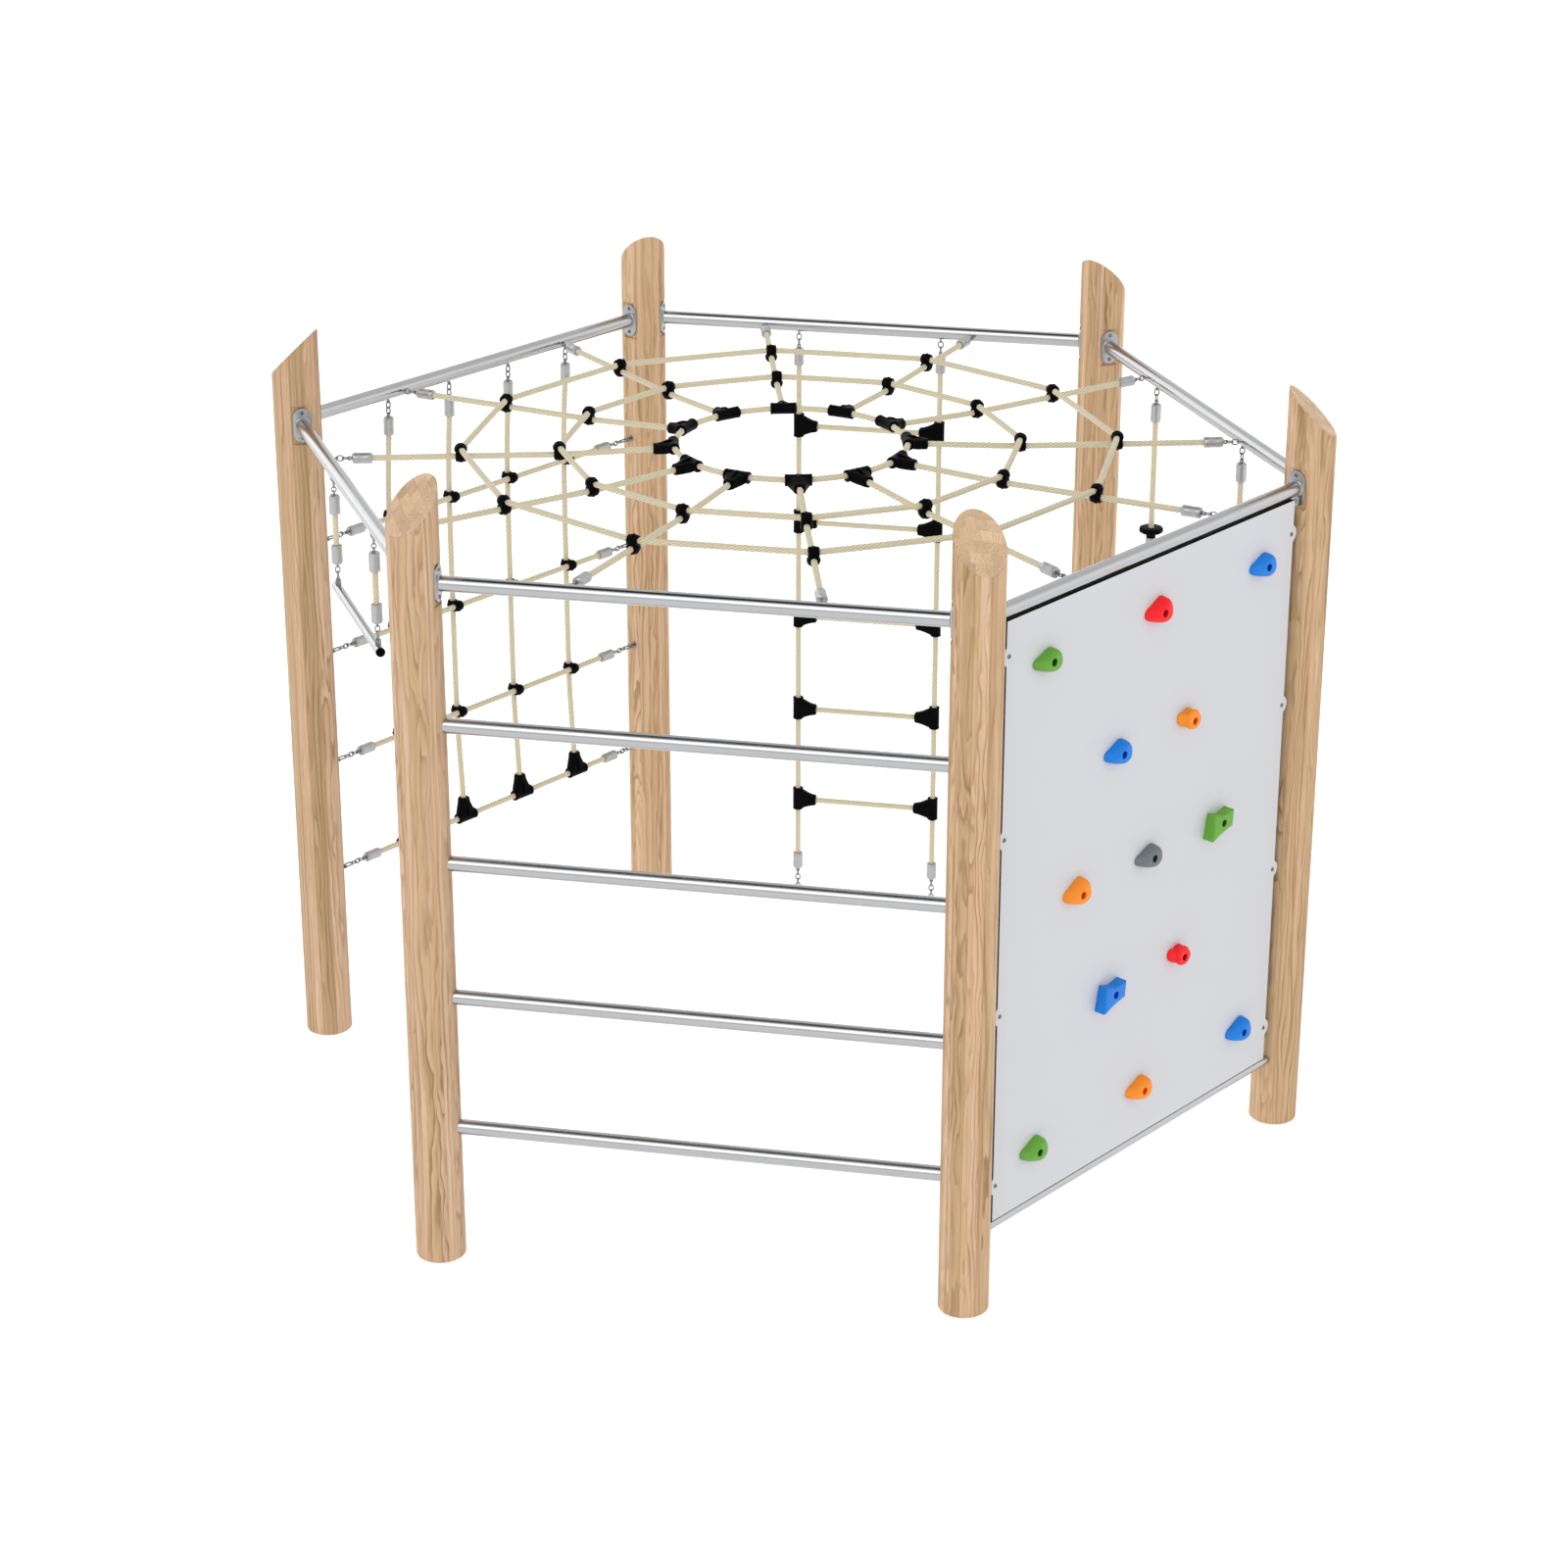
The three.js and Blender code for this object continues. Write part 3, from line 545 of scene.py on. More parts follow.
def wood_material(name, post_deg, seed, end=False):
    """Glued square lamellas turned round: each has its own tone and its own growth rings."""
    n = Nodes(name)
    x0, y0 = HEX_R * math.cos(rad(post_deg)), HEX_R * math.sin(rad(post_deg))
    tc = n.node("ShaderNodeTexCoord")
    mp = n.node("ShaderNodeMapping", vector_type="TEXTURE", inputs={"Location": (x0, y0, 0), "Rotation": (0, 0, rad(post_deg + 14 * seed + 8))})
    n.t.links.new(tc.outputs["Object"], mp.inputs["Vector"])
    sep = n.node("ShaderNodeSeparateXYZ")
    n.t.links.new(mp.outputs[0], sep.inputs[0])
    px, py, pz = sep.outputs
    W, D = 0.0285, 0.0235
    row = n.math("FLOOR", n.math("DIVIDE", n.math("ADD", py, 0.0901), D))
    shift = n.math("MULTIPLY", n.math("FRACT", n.math("MULTIPLY", row, 0.37)), W)
    col = n.math("FLOOR", n.math("DIVIDE", n.math("ADD", n.math("ADD", px, shift), 0.0953), W))
    ident = n.node("ShaderNodeCombineXYZ")
    n.t.links.new(row, ident.inputs[0])
    n.t.links.new(col, ident.inputs[1])
    ident.inputs[2].default_value = seed * 1.7
    wn = n.node("ShaderNodeTexWhiteNoise", noise_dimensions="3D")
    n.t.links.new(ident.outputs[0], wn.inputs["Vector"])
    rc = n.node("ShaderNodeSeparateColor")
    n.t.links.new(wn.outputs["Color"], rc.inputs[0])
    r1, r2, r3 = rc.outputs
    # long waves that bend the grain
    wave_c = n.node("ShaderNodeCombineXYZ")
    n.t.links.new(n.math("ADD", n.math("MULTIPLY", px, 9.0), n.math("MULTIPLY", r1, 30.0)), wave_c.inputs[0])
    n.t.links.new(n.math("ADD", n.math("MULTIPLY", py, 9.0), n.math("MULTIPLY", r2, 30.0)), wave_c.inputs[1])
    n.t.links.new(n.math("MULTIPLY", pz, 1.45), wave_c.inputs[2])
    warp = n.noise(wave_c.outputs[0], 1.0, 2, 0.45)
    warp2 = n.noise(wave_c.outputs[0], 2.7, 2, 0.5)
    drift = n.math("ADD", n.math("MULTIPLY", n.math("SUBTRACT", warp, 0.5), 0.080), n.math("MULTIPLY", n.math("SUBTRACT", warp2, 0.5), 0.030))
    qx, qy = n.math("ADD", px, drift), n.math("ADD", py, drift)
    # growth rings about a pith that lies off to one side of each lamella
    cx = n.math("ADD", px, n.math("MULTIPLY", n.math("SUBTRACT", r1, 0.5), 0.20))
    cy = n.math("ADD", py, n.math("MULTIPLY", n.math("SUBTRACT", r2, 0.5), 0.26))
    cx = n.math("ADD", cx, n.math("MULTIPLY", n.math("SUBTRACT", warp, 0.5), 0.080))
    cx = n.math("ADD", cx, n.math("MULTIPLY", n.math("SUBTRACT", warp2, 0.5), 0.034))
    cy = n.math("ADD", cy, n.math("MULTIPLY", n.math("SUBTRACT", warp2, 0.5), 0.056))
    cy = n.math("ADD", cy, n.math("MULTIPLY", n.math("SUBTRACT", warp, 0.5), 0.050))
    rr = n.math("SQRT", n.math("ADD", n.math("MULTIPLY", cx, cx), n.math("MULTIPLY", cy, cy)))
    rings = n.math("FRACT", n.math("MULTIPLY", rr, 78.0 if not end else 130.0))
    ringc = n.ramp(rings, [(0.0, 0.0), (0.40, 0.10), (0.66, 0.45), (0.86, 1.0), (0.93, 0.85), (1.0, 0.0)])
    # fibres
    fib_c = n.node("ShaderNodeCombineXYZ")
    for sck, k, v in ((0, 420.0, qx), (1, 420.0, qy), (2, 420.0 if end else 7.0, pz)):
        n.t.links.new(n.math("MULTIPLY", v, k), fib_c.inputs[sck])
    fib = n.noise(fib_c.outputs[0], 1.0, 4, 0.65)
    broad_c = n.node("ShaderNodeCombineXYZ")
    for sck, k, v in ((0, 62.0, qx), (1, 62.0, qy), (2, 1.3, pz)):
        n.t.links.new(n.math("MULTIPLY", v, k), broad_c.inputs[sck])
    broad = n.noise(broad_c.outputs[0], 1.0, 3, 0.6)
    light, mid, dark = lin(220, 190, 160), lin(194, 158, 116), lin(136, 98, 48)
    light, mid, dark = (tuple(v * TONE.get(post_deg, 1.0) for v in c) for c in (light, mid, dark))
    if end:
        light, mid, dark = lin(224, 194, 162), lin(206, 173, 138), lin(156, 121, 86)
        light, mid, dark = (tuple(v * (1 + TONE.get(post_deg, 1.0)) / 2 for v in c) for c in (light, mid, dark))
    base = n.ramp(broad, [(0.25, light), (0.5, tuple((a + b) / 2 for a, b in zip(light, mid))), (0.78, mid)])
    patch_c = n.node("ShaderNodeCombineXYZ")
    for sck, k, v in ((0, 24.0, qx), (1, 24.0, qy), (2, 1.1, pz)):
        n.t.links.new(n.math("MULTIPLY", v, k), patch_c.inputs[sck])
    patchy = n.ramp(n.noise(patch_c.outputs[0], 1.0, 2, 0.5), [(0.34, 0.22), (0.50, 0.60), (0.64, 1.0)])
    base = n.mix(n.math("MULTIPLY", n.math("MULTIPLY", ringc, patchy), 0.80 if not end else 0.42), base, dark)
    base = n.mix(n.math("MULTIPLY", n.math("SUBTRACT", fib, 0.38, True), 0.60 if not end else 0.35), base, lin(150, 114, 72))
    if end:
        tint = n.ramp(r3, [(0.0, (0.76, 0.73, 0.68)), (0.3, (1.00, 0.99, 0.97)), (0.55, (0.86, 0.83, 0.80)), (0.8, (1.06, 1.04, 1.02)), (1.0, (1.12, 1.12, 1.12))])
    else:
        tint = n.ramp(r3, [(0.0, (0.80, 0.76, 0.64)), (0.28, (1.02, 1.0, 0.94)), (0.52, (0.86, 0.82, 0.71)), (0.76, (1.06, 1.02, 1.02)), (1.0, (1.12, 1.11, 1.14))])
    base = n.mix(1.0, base, tint, "MULTIPLY")
    # glue lines between the lamellas
    fx = n.math("FRACT", n.math("DIVIDE", n.math("ADD", n.math("ADD", px, shift), 0.0953), W))
    fy = n.math("FRACT", n.math("DIVIDE", n.math("ADD", py, 0.0901), D))
    joint = n.math("MAXIMUM", n.math("LESS_THAN", fx, 0.035), n.math("LESS_THAN", fy, 0.040))
    base = n.mix(n.math("MULTIPLY", joint, 0.32), base, dark)
    n.set(Base_Color=base, Roughness=n.math("ADD", 0.50, n.math("MULTIPLY", fib, 0.25)))
    n.bump(n.math("ADD", fib, n.math("MULTIPLY", ringc, 0.5)), 0.18, 0.0006)
    return n.mat


def panel_material(name):
    n = Nodes(name)
    c = n.coords()
    f = n.noise(c, 500.0, 3, 0.6)
    g = n.noise(c, 2.0, 2, 0.5)
    n.set(Base_Color=n.mix(g, lin(197, 198, 202), lin(200, 201, 205)), Roughness=n.math("ADD", 0.42, n.math("MULTIPLY", f, 0.15)))
    n.bump(f, 0.08, 0.0003)
    return n.mat


STEEL = {name: steel_material("steel_" + name, deg - 90) for name, deg in SIDES.items()}
FLANGE = metal_plain("flange_steel", (0.40, 0.405, 0.415), 0.28)
SCREW = metal_plain("screw_steel", (0.20, 0.205, 0.21), 0.32)
DARK = plastic_material("dark_hollow", (0.01, 0.01, 0.011), 0.6, level=0.2)
# The recessed screw is a real part; its near-black colour is painted shade for the bottom of the bolt recess.
BOLT = metal_plain("recessed_bolt_steel", (0.035, 0.035, 0.037), 0.45)
CHAIN = metal_plain("chain_steel", (0.29, 0.294, 0.30), 0.26)
ALU = metal_plain("pressed_aluminium", (0.47, 0.475, 0.48), 0.38)
ROPE = rope_material("twisted_rope")
BLACK = plastic_material("black_plastic", (0.0014, 0.0014, 0.0017), 0.40, level=0.035)
CORE = plastic_material("panel_core", (0.004, 0.004, 0.0045), 0.55, level=0.15)
PANEL = panel_material("panel_face")
HOLD = {
    "green": plastic_material("hold_green", lin(98, 161, 54), 0.50, 0.5, 1100.0, level=0.32),
    "red": plastic_material("hold_red", lin(240, 16, 24), 0.50, 0.5, 1100.0, level=0.32),
    "blue": plastic_material("hold_blue", lin(8, 120, 213), 0.50, 0.5, 1100.0, level=0.32),
    "orange": plastic_material("hold_orange", lin(240, 138, 30), 0.50, 0.5, 1100.0, level=0.32),
    "grey": plastic_material("hold_grey", lin(106, 112, 115), 0.50, 0.5, 1100.0, level=0.32),
}
# Darker copies of each hold colour for the walls of the bolt recess: painted shade standing in for the shade inside the
# recess.
HOLD_RECESS_SHADE = {
    "green": plastic_material("recess_shade_green", lin(34, 92, 26), 0.55, level=0.2),
    "red": plastic_material("recess_shade_red", lin(186, 8, 18), 0.55, level=0.2),
    "blue": plastic_material("recess_shade_blue", lin(8, 62, 182), 0.55, level=0.2),
    "orange": plastic_material("recess_shade_orange", lin(222, 84, 16), 0.55, level=0.2),
    "grey": plastic_material("recess_shade_grey", lin(44, 48, 52), 0.55, level=0.2),
}

# ------------------------------------------------------------------ posts
BODY = "frame"
FLAT_HALF = math.sqrt(POST_R ** 2 - 0.062 ** 2)


def build_post(name, deg, seed):
    sh = Shell()
    segs = 96
    flat_dirs = [rad(120), rad(-120)]
    angs = [TAU * i / segs for i in range(segs)]
    # make the flats' edges fall on vertices
    edge = math.asin(FLAT_HALF / POST_R)
    for fd in flat_dirs:
        for s in (-1, 1):
            want = (fd + s * edge) % TAU
            k = min(range(segs), key=lambda i: min(abs(angs[i] - want), TAU - abs(angs[i] - want)))
            angs[k] = want
    angs.sort()

    def pos(a, z, flat):
        x, y = POST_R * math.cos(a), POST_R * math.sin(a)
        if flat:
            for fd in flat_dirs:
                u = (math.cos(fd), math.sin(fd))
                d = x * u[0] + y * u[1]
                if d > 0.062 + 1e-7:
                    x, y = x - u[0] * (d - 0.062), y - u[1] * (d - 0.062)
        return (x, y, z)

    def is_flat(a):
        return any(math.cos(a - fd) * POST_R > 0.062 + 1e-6 for fd in flat_dirs)
    z1, z2 = RAIL_Z - 0.059, RAIL_Z + 0.059
    verts, faces, mats = [], [], []

    def ring(z, r=None, flat=False, slope=False, base=None):
        """Adds a ring; where base is given and the vertex would not move, its index is reused."""
        out = []
        for i, a in enumerate(angs):
            if base is not None and not is_flat(a):
                out.append(base[i])
                continue
            if r is not None:
                p = (r * math.cos(a), r * math.sin(a), z)
            else:
                p = pos(a, z, flat)
            if slope:
                p = (p[0], p[1], 2.220 - p[0] - (0.0016 if r is None else 0.0))
            out.append(len(verts))
            verts.append(p)
        return out
    rings = [ring(0.0, r=0.0655), ring(0.0012, r=0.0682), ring(0.0045)]
    zs = [0.0045 + (z1 - 0.0045) * k / 10 for k in range(1, 10)]
    for z in zs:
        rings.append(ring(z))
    a = ring(z1)
    b = ring(z1, flat=True, base=a)
    c = ring(z2, flat=True)
    d = ring(z2, base=c)
    top = ring(0, slope=True)
    chain_rings = rings + [a, b, c, d, top]
    cap_r = POST_R - 0.0016
    cap = []
    for an in angs:
        x, y = cap_r * math.cos(an), cap_r * math.sin(an)
        cap.append(len(verts))
        verts.append((x, y, 2.220 - x))
    chain_rings.append(cap)
    n = len(angs)
    for p, q in zip(chain_rings, chain_rings[1:]):
        for i in range(n):
            j = (i + 1) % n
            quad = [p[i], p[j], q[j], q[i]]
            uniq = []
            for v in quad:
                if v not in uniq:
                    uniq.append(v)
            if len(uniq) >= 3:
                faces.append(tuple(uniq))
                mats.append(0)
    faces.append(tuple(reversed(rings[0])))
    mats.append(1)
    faces.append(tuple(cap))
    mats.append(1)
    M = Matrix.Rotation(rad(deg), 4, "Z") @ Matrix.Translation((HEX_R, 0, 0))
    sh.add(verts, faces, M, mats)
    sh.make("post_%s_turned" % name, [wood_material("timber_" + name, deg, seed), wood_material("timber_end_" + name, deg, seed, True)],
            BODY, ["post_" + name], "timber", sharp=25)


for k, (name, deg) in enumerate(POSTS.items()):
    build_post(name, deg, k)

# ------------------------------------------------------------------ top rails


def oval(w, h, n=14, inset=0.0):
    w, h = w / 2 - inset, h / 2 - inset
    c = h - w
    pts = []
    for i in range(n + 1):
        t = math.pi * i / n
        pts.append((w * math.cos(t), c + w * math.sin(t)))
    for i in range(n + 1):
        t = math.pi + math.pi * i / n
        pts.append((w * math.cos(t), -c + w * math.sin(t)))
    return pts


def build_rail(side):
    M = side_m(side)
    sh = Shell()
    x0, x1 = HALF - POST_R, HALF - 0.0623
    A = M @ along((-x1, AP, RAIL_Z), (x1, AP, RAIL_Z))
    L = 2 * x1
    sh.ring([(TUBE_R, 0), (TUBE_R, L), (0.0186, L), (0.0186, 0)], A, 72, 0)
    for s in (-1, 1):
        F = M @ along((s * x1, AP, RAIL_Z), (s * (x1 - 0.01), AP, RAIL_Z), (0, 1, 0))
        T = x1 - x0 - 0.0022
        loops = [(0.0, 0.0), (0.0, T - 0.0012), (0.0004, T - 0.0004), (0.0012, T)]
        secs = [[(x, y, z) for x, y in oval(0.056, 0.105, 14, ins)] for ins, z in loops]
        sh.loft(secs, F, 1)
        # weld bead round the tube
        sh.ring([(TUBE_R - 0.0005, T - 0.0005), (TUBE_R + 0.0040, T - 0.0002), (TUBE_R + 0.0032, T + 0.0016), (TUBE_R + 0.0014, T + 0.0030), (TUBE_R - 0.0003, T + 0.0036)], F, 64, 1)
        for dz in (-0.0385, 0.0385):
            S = F @ Matrix.Translation((0, dz, T - 0.0006))
            sh.lathe([(0, -0.0004), (0.0064, 0.0), (0.0060, 0.0018), (0.0046, 0.0029), (0.0026, 0.0030), (0.0022, 0.0006), (0, 0.0006)], S, 24, 2)
    name = "rail_" + side
    sh.make(name + "_tube", [STEEL[side], FLANGE, SCREW], BODY, [name], "stainless_steel", sharp=30)


for side in SIDES:
    build_rail(side)

# ------------------------------------------------------------------ ladder bars and lower rail
for i in range(1, 5):
    sh = Shell()
    x = HALF - POST_R + 0.025
    z = RAIL_Z - 0.401 * i
    A = side_m("front") @ along((-x, AP, z), (x, AP, z))
    sh.ring([(TUBE_R, 0), (TUBE_R, 2 * x), (0.0186, 2 * x), (0.0186, 0)], A, 72, 0)
    sh.make("ladder_bar_%d_tube" % i, [STEEL["front"]], BODY, ["ladder_bar_%d" % i], "stainless_steel")
sh = Shell()
A = side_m("front_right") @ along((-0.691, AP + 0.010, 0.217), (0.691, AP + 0.010, 0.217))
sh.ring([(0.01345, 0), (0.01345, 1.382), (0.0111, 1.382), (0.0111, 0)], A, 56, 0)
sh.make("panel_bottom_rail_tube", [STEEL["front_right"]], BODY, ["panel_bottom_rail"], "stainless_steel")

# ------------------------------------------------------------------ climbing panel
EAR_X, EAR_R, EAR_F, PAN_H = 0.640, 0.026, 0.010, 0.650
EAR_Z = [0.3385, 0.855, 1.3715, 1.888]
P_TOP, P_BOT, P_FRONT, P_T = 1.987, 0.231, 0.0195, 0.018


def panel_outline():
    reach = math.sqrt((EAR_R + EAR_F) ** 2 - (PAN_H - EAR_X + EAR_F) ** 2)
    join = math.atan2(reach, PAN_H + EAR_F - EAR_X)
    right = [(PAN_H, P_BOT)]
    for z in EAR_Z:
        for k in range(7):
            a = math.pi - join * 0 - (join) * k / 6
            right.append((PAN_H + EAR_F + EAR_F * math.cos(math.pi - join * k / 6), z - reach + EAR_F * math.sin(join * k / 6)))
        for k in range(1, 16):
            a = -join + 2 * join * k / 16
            right.append((EAR_X + EAR_R * math.cos(a), z + EAR_R * math.sin(a)))
        for k in range(7):
            t = join * (1 - k / 6)
            right.append((PAN_H + EAR_F - EAR_F * math.cos(t), z + reach - EAR_F * math.sin(t)))
    right.append((PAN_H, P_TOP))
    return right + [(-x, z) for x, z in reversed(right)]


def build_panel():
    sh = Shell()
    pts = panel_outline()
    # drop doubled points
    clean = []
    for p in pts:
        if not clean or math.dist(p, clean[-1]) > 1e-5:
            clean.append(p)
    M = side_m("front_right") @ basis((1, 0, 0), (0, 0, 1), (0, -1, 0), (0, AP + P_FRONT, 0))
    sh.prism(clean, 0.0, P_T, M, 0, 1)
    o = sh.make("climbing_panel_board", [PANEL, CORE], BODY, ["climbing_panel"], "panel_board", sharp=40)
    b = o.modifiers.new("edge", "BEVEL")
    b.width, b.segments, b.limit_method, b.angle_limit = 0.0012, 2, "ANGLE", rad(60)
    # screws in the ears
    sc = Shell()
    N = side_m("front_right")
    for s in (-1, 1):
        for z in EAR_Z:
            S = N @ along((s * EAR_X, AP + P_FRONT, z), (s * EAR_X, AP + P_FRONT + 0.01, z))
            sc.lathe([(0, -0.002), (0.0066, -0.002), (0.0066, 0.0002), (0.0058, 0.0016), (0.0040, 0.0026), (0.0024, 0.0029), (0.0022, 0.0006), (0, 0.0006)], S, 24, 0)
    sc.make("panel_screws", [SCREW], BODY, [], "stainless_steel")


build_panel()
for word in ("left", "right"):
    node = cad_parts["panel_strip_" + word]
    node.data.materials.clear()
    node.data.materials.append(FLANGE)

# ------------------------------------------------------------------ climbing holds
# Outlines as seen by a climber facing the wall, measured from the bolt, in metres: x to the right, y up.
HOLDS = [
    (489, 1837, "green", "tear"), (0, 1837, "red", "tear"), (-489, 1837, "blue", "tear"),
    (-163, 1475, "orange", "knob"), (162, 1475, "blue", "tear"),
    (-330, 1113, "green", "bone"), (0, 1114, "grey", "tear"), (326, 1114, "orange", "tear"),
    (-166, 752, "red", "knob"), (158, 752, "blue", "bone"),
    (-490, 390, "blue", "tear"), (0, 390, "orange", "tear"), (485, 390, "green", "tear"),
]
OUTLINES = {
    "tear": [(-48, -11), (-48, 8), (-25, 20), (-3, 31), (17, 38), (34, 31), (44, 14), (47, -8), (41, -23), (25, -31), (2, -31), (-26, -24)],
    "knob": [(-42, 8), (-37, 21), (-26, 25), (-13, 23), (0, 29), (15, 28), (28, 16), (33, 0), (26, -14), (11, -23), (-12, -21), (-34, -9)],
}
KNOB_FRONT = [(-27, 8), (-24, 20), (-15, 30), (-3, 33), (14, 29), (27, 14), (33, -1), (25, -17), (9, -25), (-13, -22), (-25, -8)]
BONE_BASE = [(-54, -41), (-46, -4), (-37, 34), (-18, 27), (4, 21), (25, 25), (46, 30), (46, 4), (44, -20), (18, -24), (-13, -31)]
BONE_FRONT = [(-50, -44), (-46, -4), (-42, 36), (-22, 29), (0, 24), (22, 27), (48, 28), (46, 4), (43, -20), (15, -24), (-17, -32)]
TALL = {1: 0.78, 2: 1.02, 3: 0.86, 5: 0.89, 7: 0.80, 8: 1.08, 11: 1.00, 12: 0.90, 13: 0.95}
RECESS = 0.027


def catmull(pts, per=6):
    out, n = [], len(pts)
    for i in range(n):
        p0, p1, p2, p3 = (Vector((*pts[(i + k - 1) % n], 0)) for k in range(4))
        for j in range(per):
            t = j / per
            out.append(0.5 * ((2 * p1) + (p2 - p0) * t + (2 * p0 - 5 * p1 + 4 * p2 - p3) * t * t + (3 * p1 - p0 - 3 * p2 + p3) * t ** 3))
    return out


def by_angle(pts, count):
    """Points of a closed outline at even angles round the origin, which it must see all round."""
    out = []
    n = len(pts)
    for k in range(count):
        a = TAU * k / count
        d = Vector((math.cos(a), math.sin(a)))
        best = None
        for i in range(n):
            p, q = pts[i], pts[(i + 1) % n]
            e = (q[0] - p[0], q[1] - p[1])
            den = d.x * e[1] - d.y * e[0]
            if abs(den) < 1e-12:
                continue
            t = (p[0] * e[1] - p[1] * e[0]) / den
            s = (p[0] * d.y - p[1] * d.x) / den
            if t > 0 and -1e-9 <= s <= 1 + 1e-9:
                best = t if best is None else max(best, t)
        out.append((d.x * best, d.y * best))
    return out


def smoothstep(a, b, x):
    t = max(0.0, min(1.0, (x - a) / (b - a)))
    return t * t * (3 - 2 * t)


def hold_place(x, z):
    return side_m("front_right") @ basis((-1, 0, 0), (0, 0, 1), (0, 1, 0), (x / 1000, AP + P_FRONT + 0.0003, z / 1000))


def bolt_recess(H):
    """Radius and height of rings from the floor of the bolt recess up to its mouth."""
    r = 0.0104
    return [(r * 0.6, H - RECESS), (r * 0.97, H - RECESS + 0.0005), (r, H - RECESS + 0.002), (r, H - 0.0018), (r + 0.0005, H - 0.0006), (r + 0.0016, H)]


def close_rows(rows, count, H, M):
    verts = [(0, 0, H - RECESS)] + [p for r_ in rows for p in r_]
    faces = [(0, 1 + k, 1 + (k + 1) % count) for k in range(count)]
    for r_ in range(len(rows) - 1):
        a, b = 1 + r_ * count, 1 + (r_ + 1) * count
        for k in range(count):
            j = (k + 1) % count
            faces.append((a + k, b + k, b + j, a + j))
    last = 1 + (len(rows) - 1) * count
    faces.append(tuple(last + k for k in reversed(range(count))))
    sh = Shell()
    # The floor and walls of the bolt recess (the first five bands of faces) take material 1, the painted-shade recess
    # colour.
    sh.add(verts, faces, M, [1] * (5 * count) + [0] * (len(faces) - 5 * count))
    return sh


def build_tear(i, x, z):
    count, H = 72, 0.0345
    k_ = TALL.get(i + 1, 1.0)
    pts = [(p.x / 1000, p.y / 1000 * (k_ if p.y > 0 else 1.0)) for p in catmull(OUTLINES["tear"], 8)]
    rim = by_angle(pts, count)
    angs = [TAU * k / count for k in range(count)]
    rows = [[(rr * math.cos(t), rr * math.sin(t), zz) for t in angs] for rr, zz in bolt_recess(H)]
    inner = 0.0104
    # three broad planes, softened where they meet, give the cast relief
    planes = [((0.10, 0.06), 0.0), ((-0.42, 0.62), 0.0135), ((-0.36, -0.28), 0.0100)]
    for w in (0.05, 0.13, 0.23, 0.34, 0.46, 0.58, 0.69, 0.78, 0.85, 0.905, 0.945, 0.972, 0.990, 1.0):
        loop = []
        for k, t in enumerate(angs):
            c = (inner * math.cos(t), inner * math.sin(t))
            px, py = c[0] + (rim[k][0] - c[0]) * w, c[1] + (rim[k][1] - c[1]) * w
            dome = max(0.0, 1 - w ** 5.5) ** 0.46
            drop = 0.0
            for (gx, gy), off in planes[1:]:
                d = (px * gx + py * gy) - off * 0.62
                drop += 0.5 * (d + math.sqrt(d * d + 0.0016 ** 2))
            top = H - drop * 0.92
            uneven = 0.0007 * noise.noise(Vector((px * 60 + i * 3.1, py * 60, i * 1.7)))
            loop.append((px, py, max(0.0, top * dome + uneven * (1 - w))))
        rows.append(loop)
    return close_rows(rows, count, H, hold_place(x, z)), H


def build_knob(i, x, z):
    count, H = 72, 0.0345
    base = by_angle([(p.x / 1000, p.y / 1000) for p in catmull(OUTLINES["knob"], 8)], count)
    front = by_angle([(p.x / 1000, p.y / 1000) for p in catmull(KNOB_FRONT, 8)], count)
    angs = [TAU * k / count for k in range(count)]
    rows = [[(rr * math.cos(t), rr * math.sin(t), zz) for t in angs] for rr, zz in bolt_recess(H)]
    inner = 0.0104
    for w, zz in ((0.25, H), (0.50, H - 0.0003), (0.70, H - 0.0009), (0.84, H - 0.0022), (0.93, H - 0.0044), (0.98, H - 0.0076), (1.0, H - 0.0110)):
        rows.append([(inner * math.cos(t) + (front[k][0] - inner * math.cos(t)) * w, inner * math.sin(t) + (front[k][1] - inner * math.sin(t)) * w, zz) for k, t in enumerate(angs)])
    # pinched waist, then the foot
    for mixv, k_, zz in ((0.25, 0.975, H - 0.0145), (0.50, 0.945, H - 0.0185), (0.72, 0.955, H - 0.0225), (0.92, 0.99, H - 0.0270), (1.0, 1.0, 0.0035), (1.0, 0.985, 0.0)):
        row = []
        for k in range(count):
            px, py = front[k][0] + (base[k][0] - front[k][0]) * mixv, front[k][1] + (base[k][1] - front[k][1]) * mixv
            row.append((px * k_, py * k_, max(0.0, zz)))
        rows.append(row)
    return close_rows(rows, count, H, hold_place(x, z)), H


def build_bone(i, x, z):
    """A block with a waist, flat faces and bevelled edges."""
    H = 0.0345
    base = [(a / 1000, b / 1000) for a, b in BONE_BASE]
    front = [(a / 1000, b / 1000) for a, b in BONE_FRONT]

    def between(t, k, zz):
        out = []
        n = len(base)
        loop = [((p[0] + (q[0] - p[0]) * t) * k, (p[1] + (q[1] - p[1]) * t) * k) for p, q in zip(base, front)]
        for a in range(n):
            p, q = loop[a], loop[(a + 1) % n]
            for u in (0.0, 0.35, 0.70):
                out.append((p[0] + (q[0] - p[0]) * u, p[1] + (q[1] - p[1]) * u, zz))
        return out
    loops = [between(0.0, 0.985, 0.0), between(0.0, 1.0, 0.0025), between(0.5, 0.99, 0.0150), between(0.9, 1.0, 0.0275), between(1.0, 0.985, 0.0312), between(1.0, 0.94, 0.0336), between(1.0, 0.86, H)]
    loops = [list(reversed(lp)) for lp in loops]
    n = len(loops[0])
    angs = [math.atan2(p[1], p[0]) for p in loops[-1]]
    rows = [[(rr * math.cos(t), rr * math.sin(t), zz) for t in angs] for rr, zz in bolt_recess(H)] + loops[::-1]
    # the outline runs clockwise, so turn the rows round to match the other holds
    rows = [list(reversed(r_)) for r_ in rows]
    return close_rows(rows, n, H, hold_place(x, z)), H


